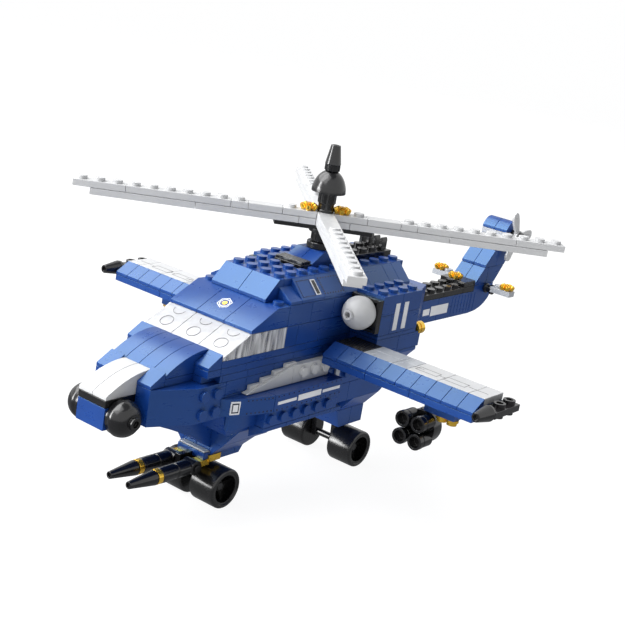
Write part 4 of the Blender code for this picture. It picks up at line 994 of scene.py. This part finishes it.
# ------------------------ everything
def make_object():
    blue_nodes = ["nose_block", "hull_tub", "hood", "chin_block", "cabin_block", "upper_deck", "tail_boom", "tail_fin",
                  "fin_cap", *pair("side_pod"), *pair("wing"), *pair("pylon"), *pair("nacelle")]
    black_nodes = ["nose_plate", "vent_grille", "clip_plate", "mast_base", "boom_deck", "tail_rotor_pin",
                   *pair("wing_tip"), *pair("intake_frame")]
    blue = Piece("blue_bricks", BLUE, "blue_plastic", blue_nodes)
    black = Piece("black_bricks", BLACK, "black_plastic", black_nodes)
    grey = Piece("grey_plates", GREY, "light_grey_plastic", ["fin_plate"])
    gold = Piece("gold_trim", GOLD)
    white_print = Piece("white_marks", PRINT_WHITE)
    dark_print = Piece("dark_marks", PRINT_DARK)
    grey_print = Piece("grey_marks", PRINT_GREY)
    make_nose(blue, black)
    make_hull(blue, grey)
    make_chin(blue, grey, gold)
    make_cockpit()
    make_cabin(blue, black, gold, white_print, dark_print)
    for side in (1, -1):
        make_pod(side, blue, grey)
        make_pod_marks(side, white_print, dark_print)
    make_side_wedges()
    make_wings(blue, black, gold, grey_print)
    make_rocket_pods()
    make_engines(blue, black, gold, white_print)
    make_tail(blue, black, grey, gold, white_print)
    make_tail_rotor(black)
    make_mast_base(black)
    make_rotor()
    make_gear()
    make_gun_bracket(gold)
    for side, suffix in ((1, "port"), (-1, "starboard")):
        make_stabiliser(side, suffix)
        make_gun(side, suffix)
    for piece in (blue, black, grey):
        piece.finish()
    for piece in (gold, white_print, dark_print, grey_print):
        piece.finish(0)


def make_stage():
    """A pale round floor, which reflections don't see, inside a backdrop that only they and the camera see."""
    material = plastic("pale_floor", (0.16, 0.16, 0.161), (0.155, 0.155, 0.156), (0.75, 0.9), 0.01, shine=0.0)
    preset(material.node_tree.nodes["Principled BSDF"], Emission_Color=(1, 1, 1, 1), Emission_Strength=0.92)
    flat, bend, wall, sides = 2.2, 1.5, 6.0, 96
    floor = swept("studio_floor", [(0.02, 0.0), (flat, 0.0)], sides, material, True)
    floor.visible_glossy = False
    curve = [*arc((flat, bend), (bend, bend), -90, 0, 16), (flat + bend, wall)]
    backdrop = swept("studio_backdrop", curve, sides, material, False)
    backdrop.visible_diffuse = False
    backdrop.visible_shadow = False


def swept(name, outline, sides, material, closed):
    """A stage surface turned round the upright axis, with its inner ring filled if closed."""
    shape = bmesh.new()
    turns = [2 * math.pi * i / sides for i in range(sides)]
    rings = [[shape.verts.new((radius * math.cos(t), radius * math.sin(t), z)) for t in turns] for radius, z in outline]
    for low, high in zip(rings, rings[1:]):
        for i in range(sides):
            j = (i + 1) % sides
            shape.faces.new([low[i], high[i], high[j], low[j]])
    if closed:
        shape.faces.new(rings[0])
    shape.normal_update()
    made = meshed(name, shape, material)
    return made


# camera, solved from the brick grid: azimuth, height and tilt of the view, and its place in studs
CAMERA_AZIMUTH = math.radians(35.81)
CAMERA_ELEVATION = math.radians(15.82)
CAMERA_ROLL = math.radians(9.53)
CAMERA_PLACE = (41.64, -46.49, 20.49)
CAMERA_LENS = 71.35


def make_camera():
    a, e, r = CAMERA_AZIMUTH, CAMERA_ELEVATION, CAMERA_ROLL
    back = Vector((math.sin(a) * math.cos(e), -math.cos(a) * math.cos(e), math.sin(e)))
    right0 = Vector((math.cos(a), math.sin(a), 0))
    up0 = back.cross(right0)
    right = math.cos(r) * right0 + math.sin(r) * up0
    up = -math.sin(r) * right0 + math.cos(r) * up0
    data = bpy.data.cameras.new("camera")
    data.lens = CAMERA_LENS
    data.sensor_width = 36
    data.clip_start = 0.01
    made = placed("camera", data)
    x, y, z = CAMERA_PLACE
    place = Matrix((right, up, back)).transposed().to_4x4()
    place.translation = Vector((x * STUD, y * STUD - MIDDLE_Y, z * STUD + FLOOR_Z))
    made.matrix_world = place
    bpy.context.scene.camera = made


def soft_light(name, place, target, size, power):
    data = bpy.data.lights.new(name, "AREA")
    data.shape = "RECTANGLE"
    data.size, data.size_y = size
    data.energy = power
    made = placed(name, data)
    made.location = place
    made.rotation_euler = (Vector(target) - Vector(place)).to_track_quat("-Z", "Y").to_euler()


def make_lights():
    world = bpy.data.worlds.new("studio")
    world.use_nodes = True
    preset(world.node_tree.nodes["Background"], Color=(0.95, 0.97, 1.0, 1), Strength=0.3)
    bpy.context.scene.world = world
    soft_light("key", (-0.28, -0.70, 1.22), (0, 0, 0.07), (1.2, 1.2), 11)
    soft_light("overhead", (-0.90, -0.42, 1.30), (0, 0, 0.07), (1.9, 1.5), 32)
    soft_light("strip", (-0.84, -1.16, 0.52), (0, 0, 0.06), (0.35, 0.6), 8)
    soft_light("low_strip", (-0.84, -1.22, 0.17), (0, 0, 0.02), (0.6, 0.3), 7)


make_object()
make_stage()
make_camera()
make_lights()
bpy.context.scene.view_settings.view_transform = "Standard"
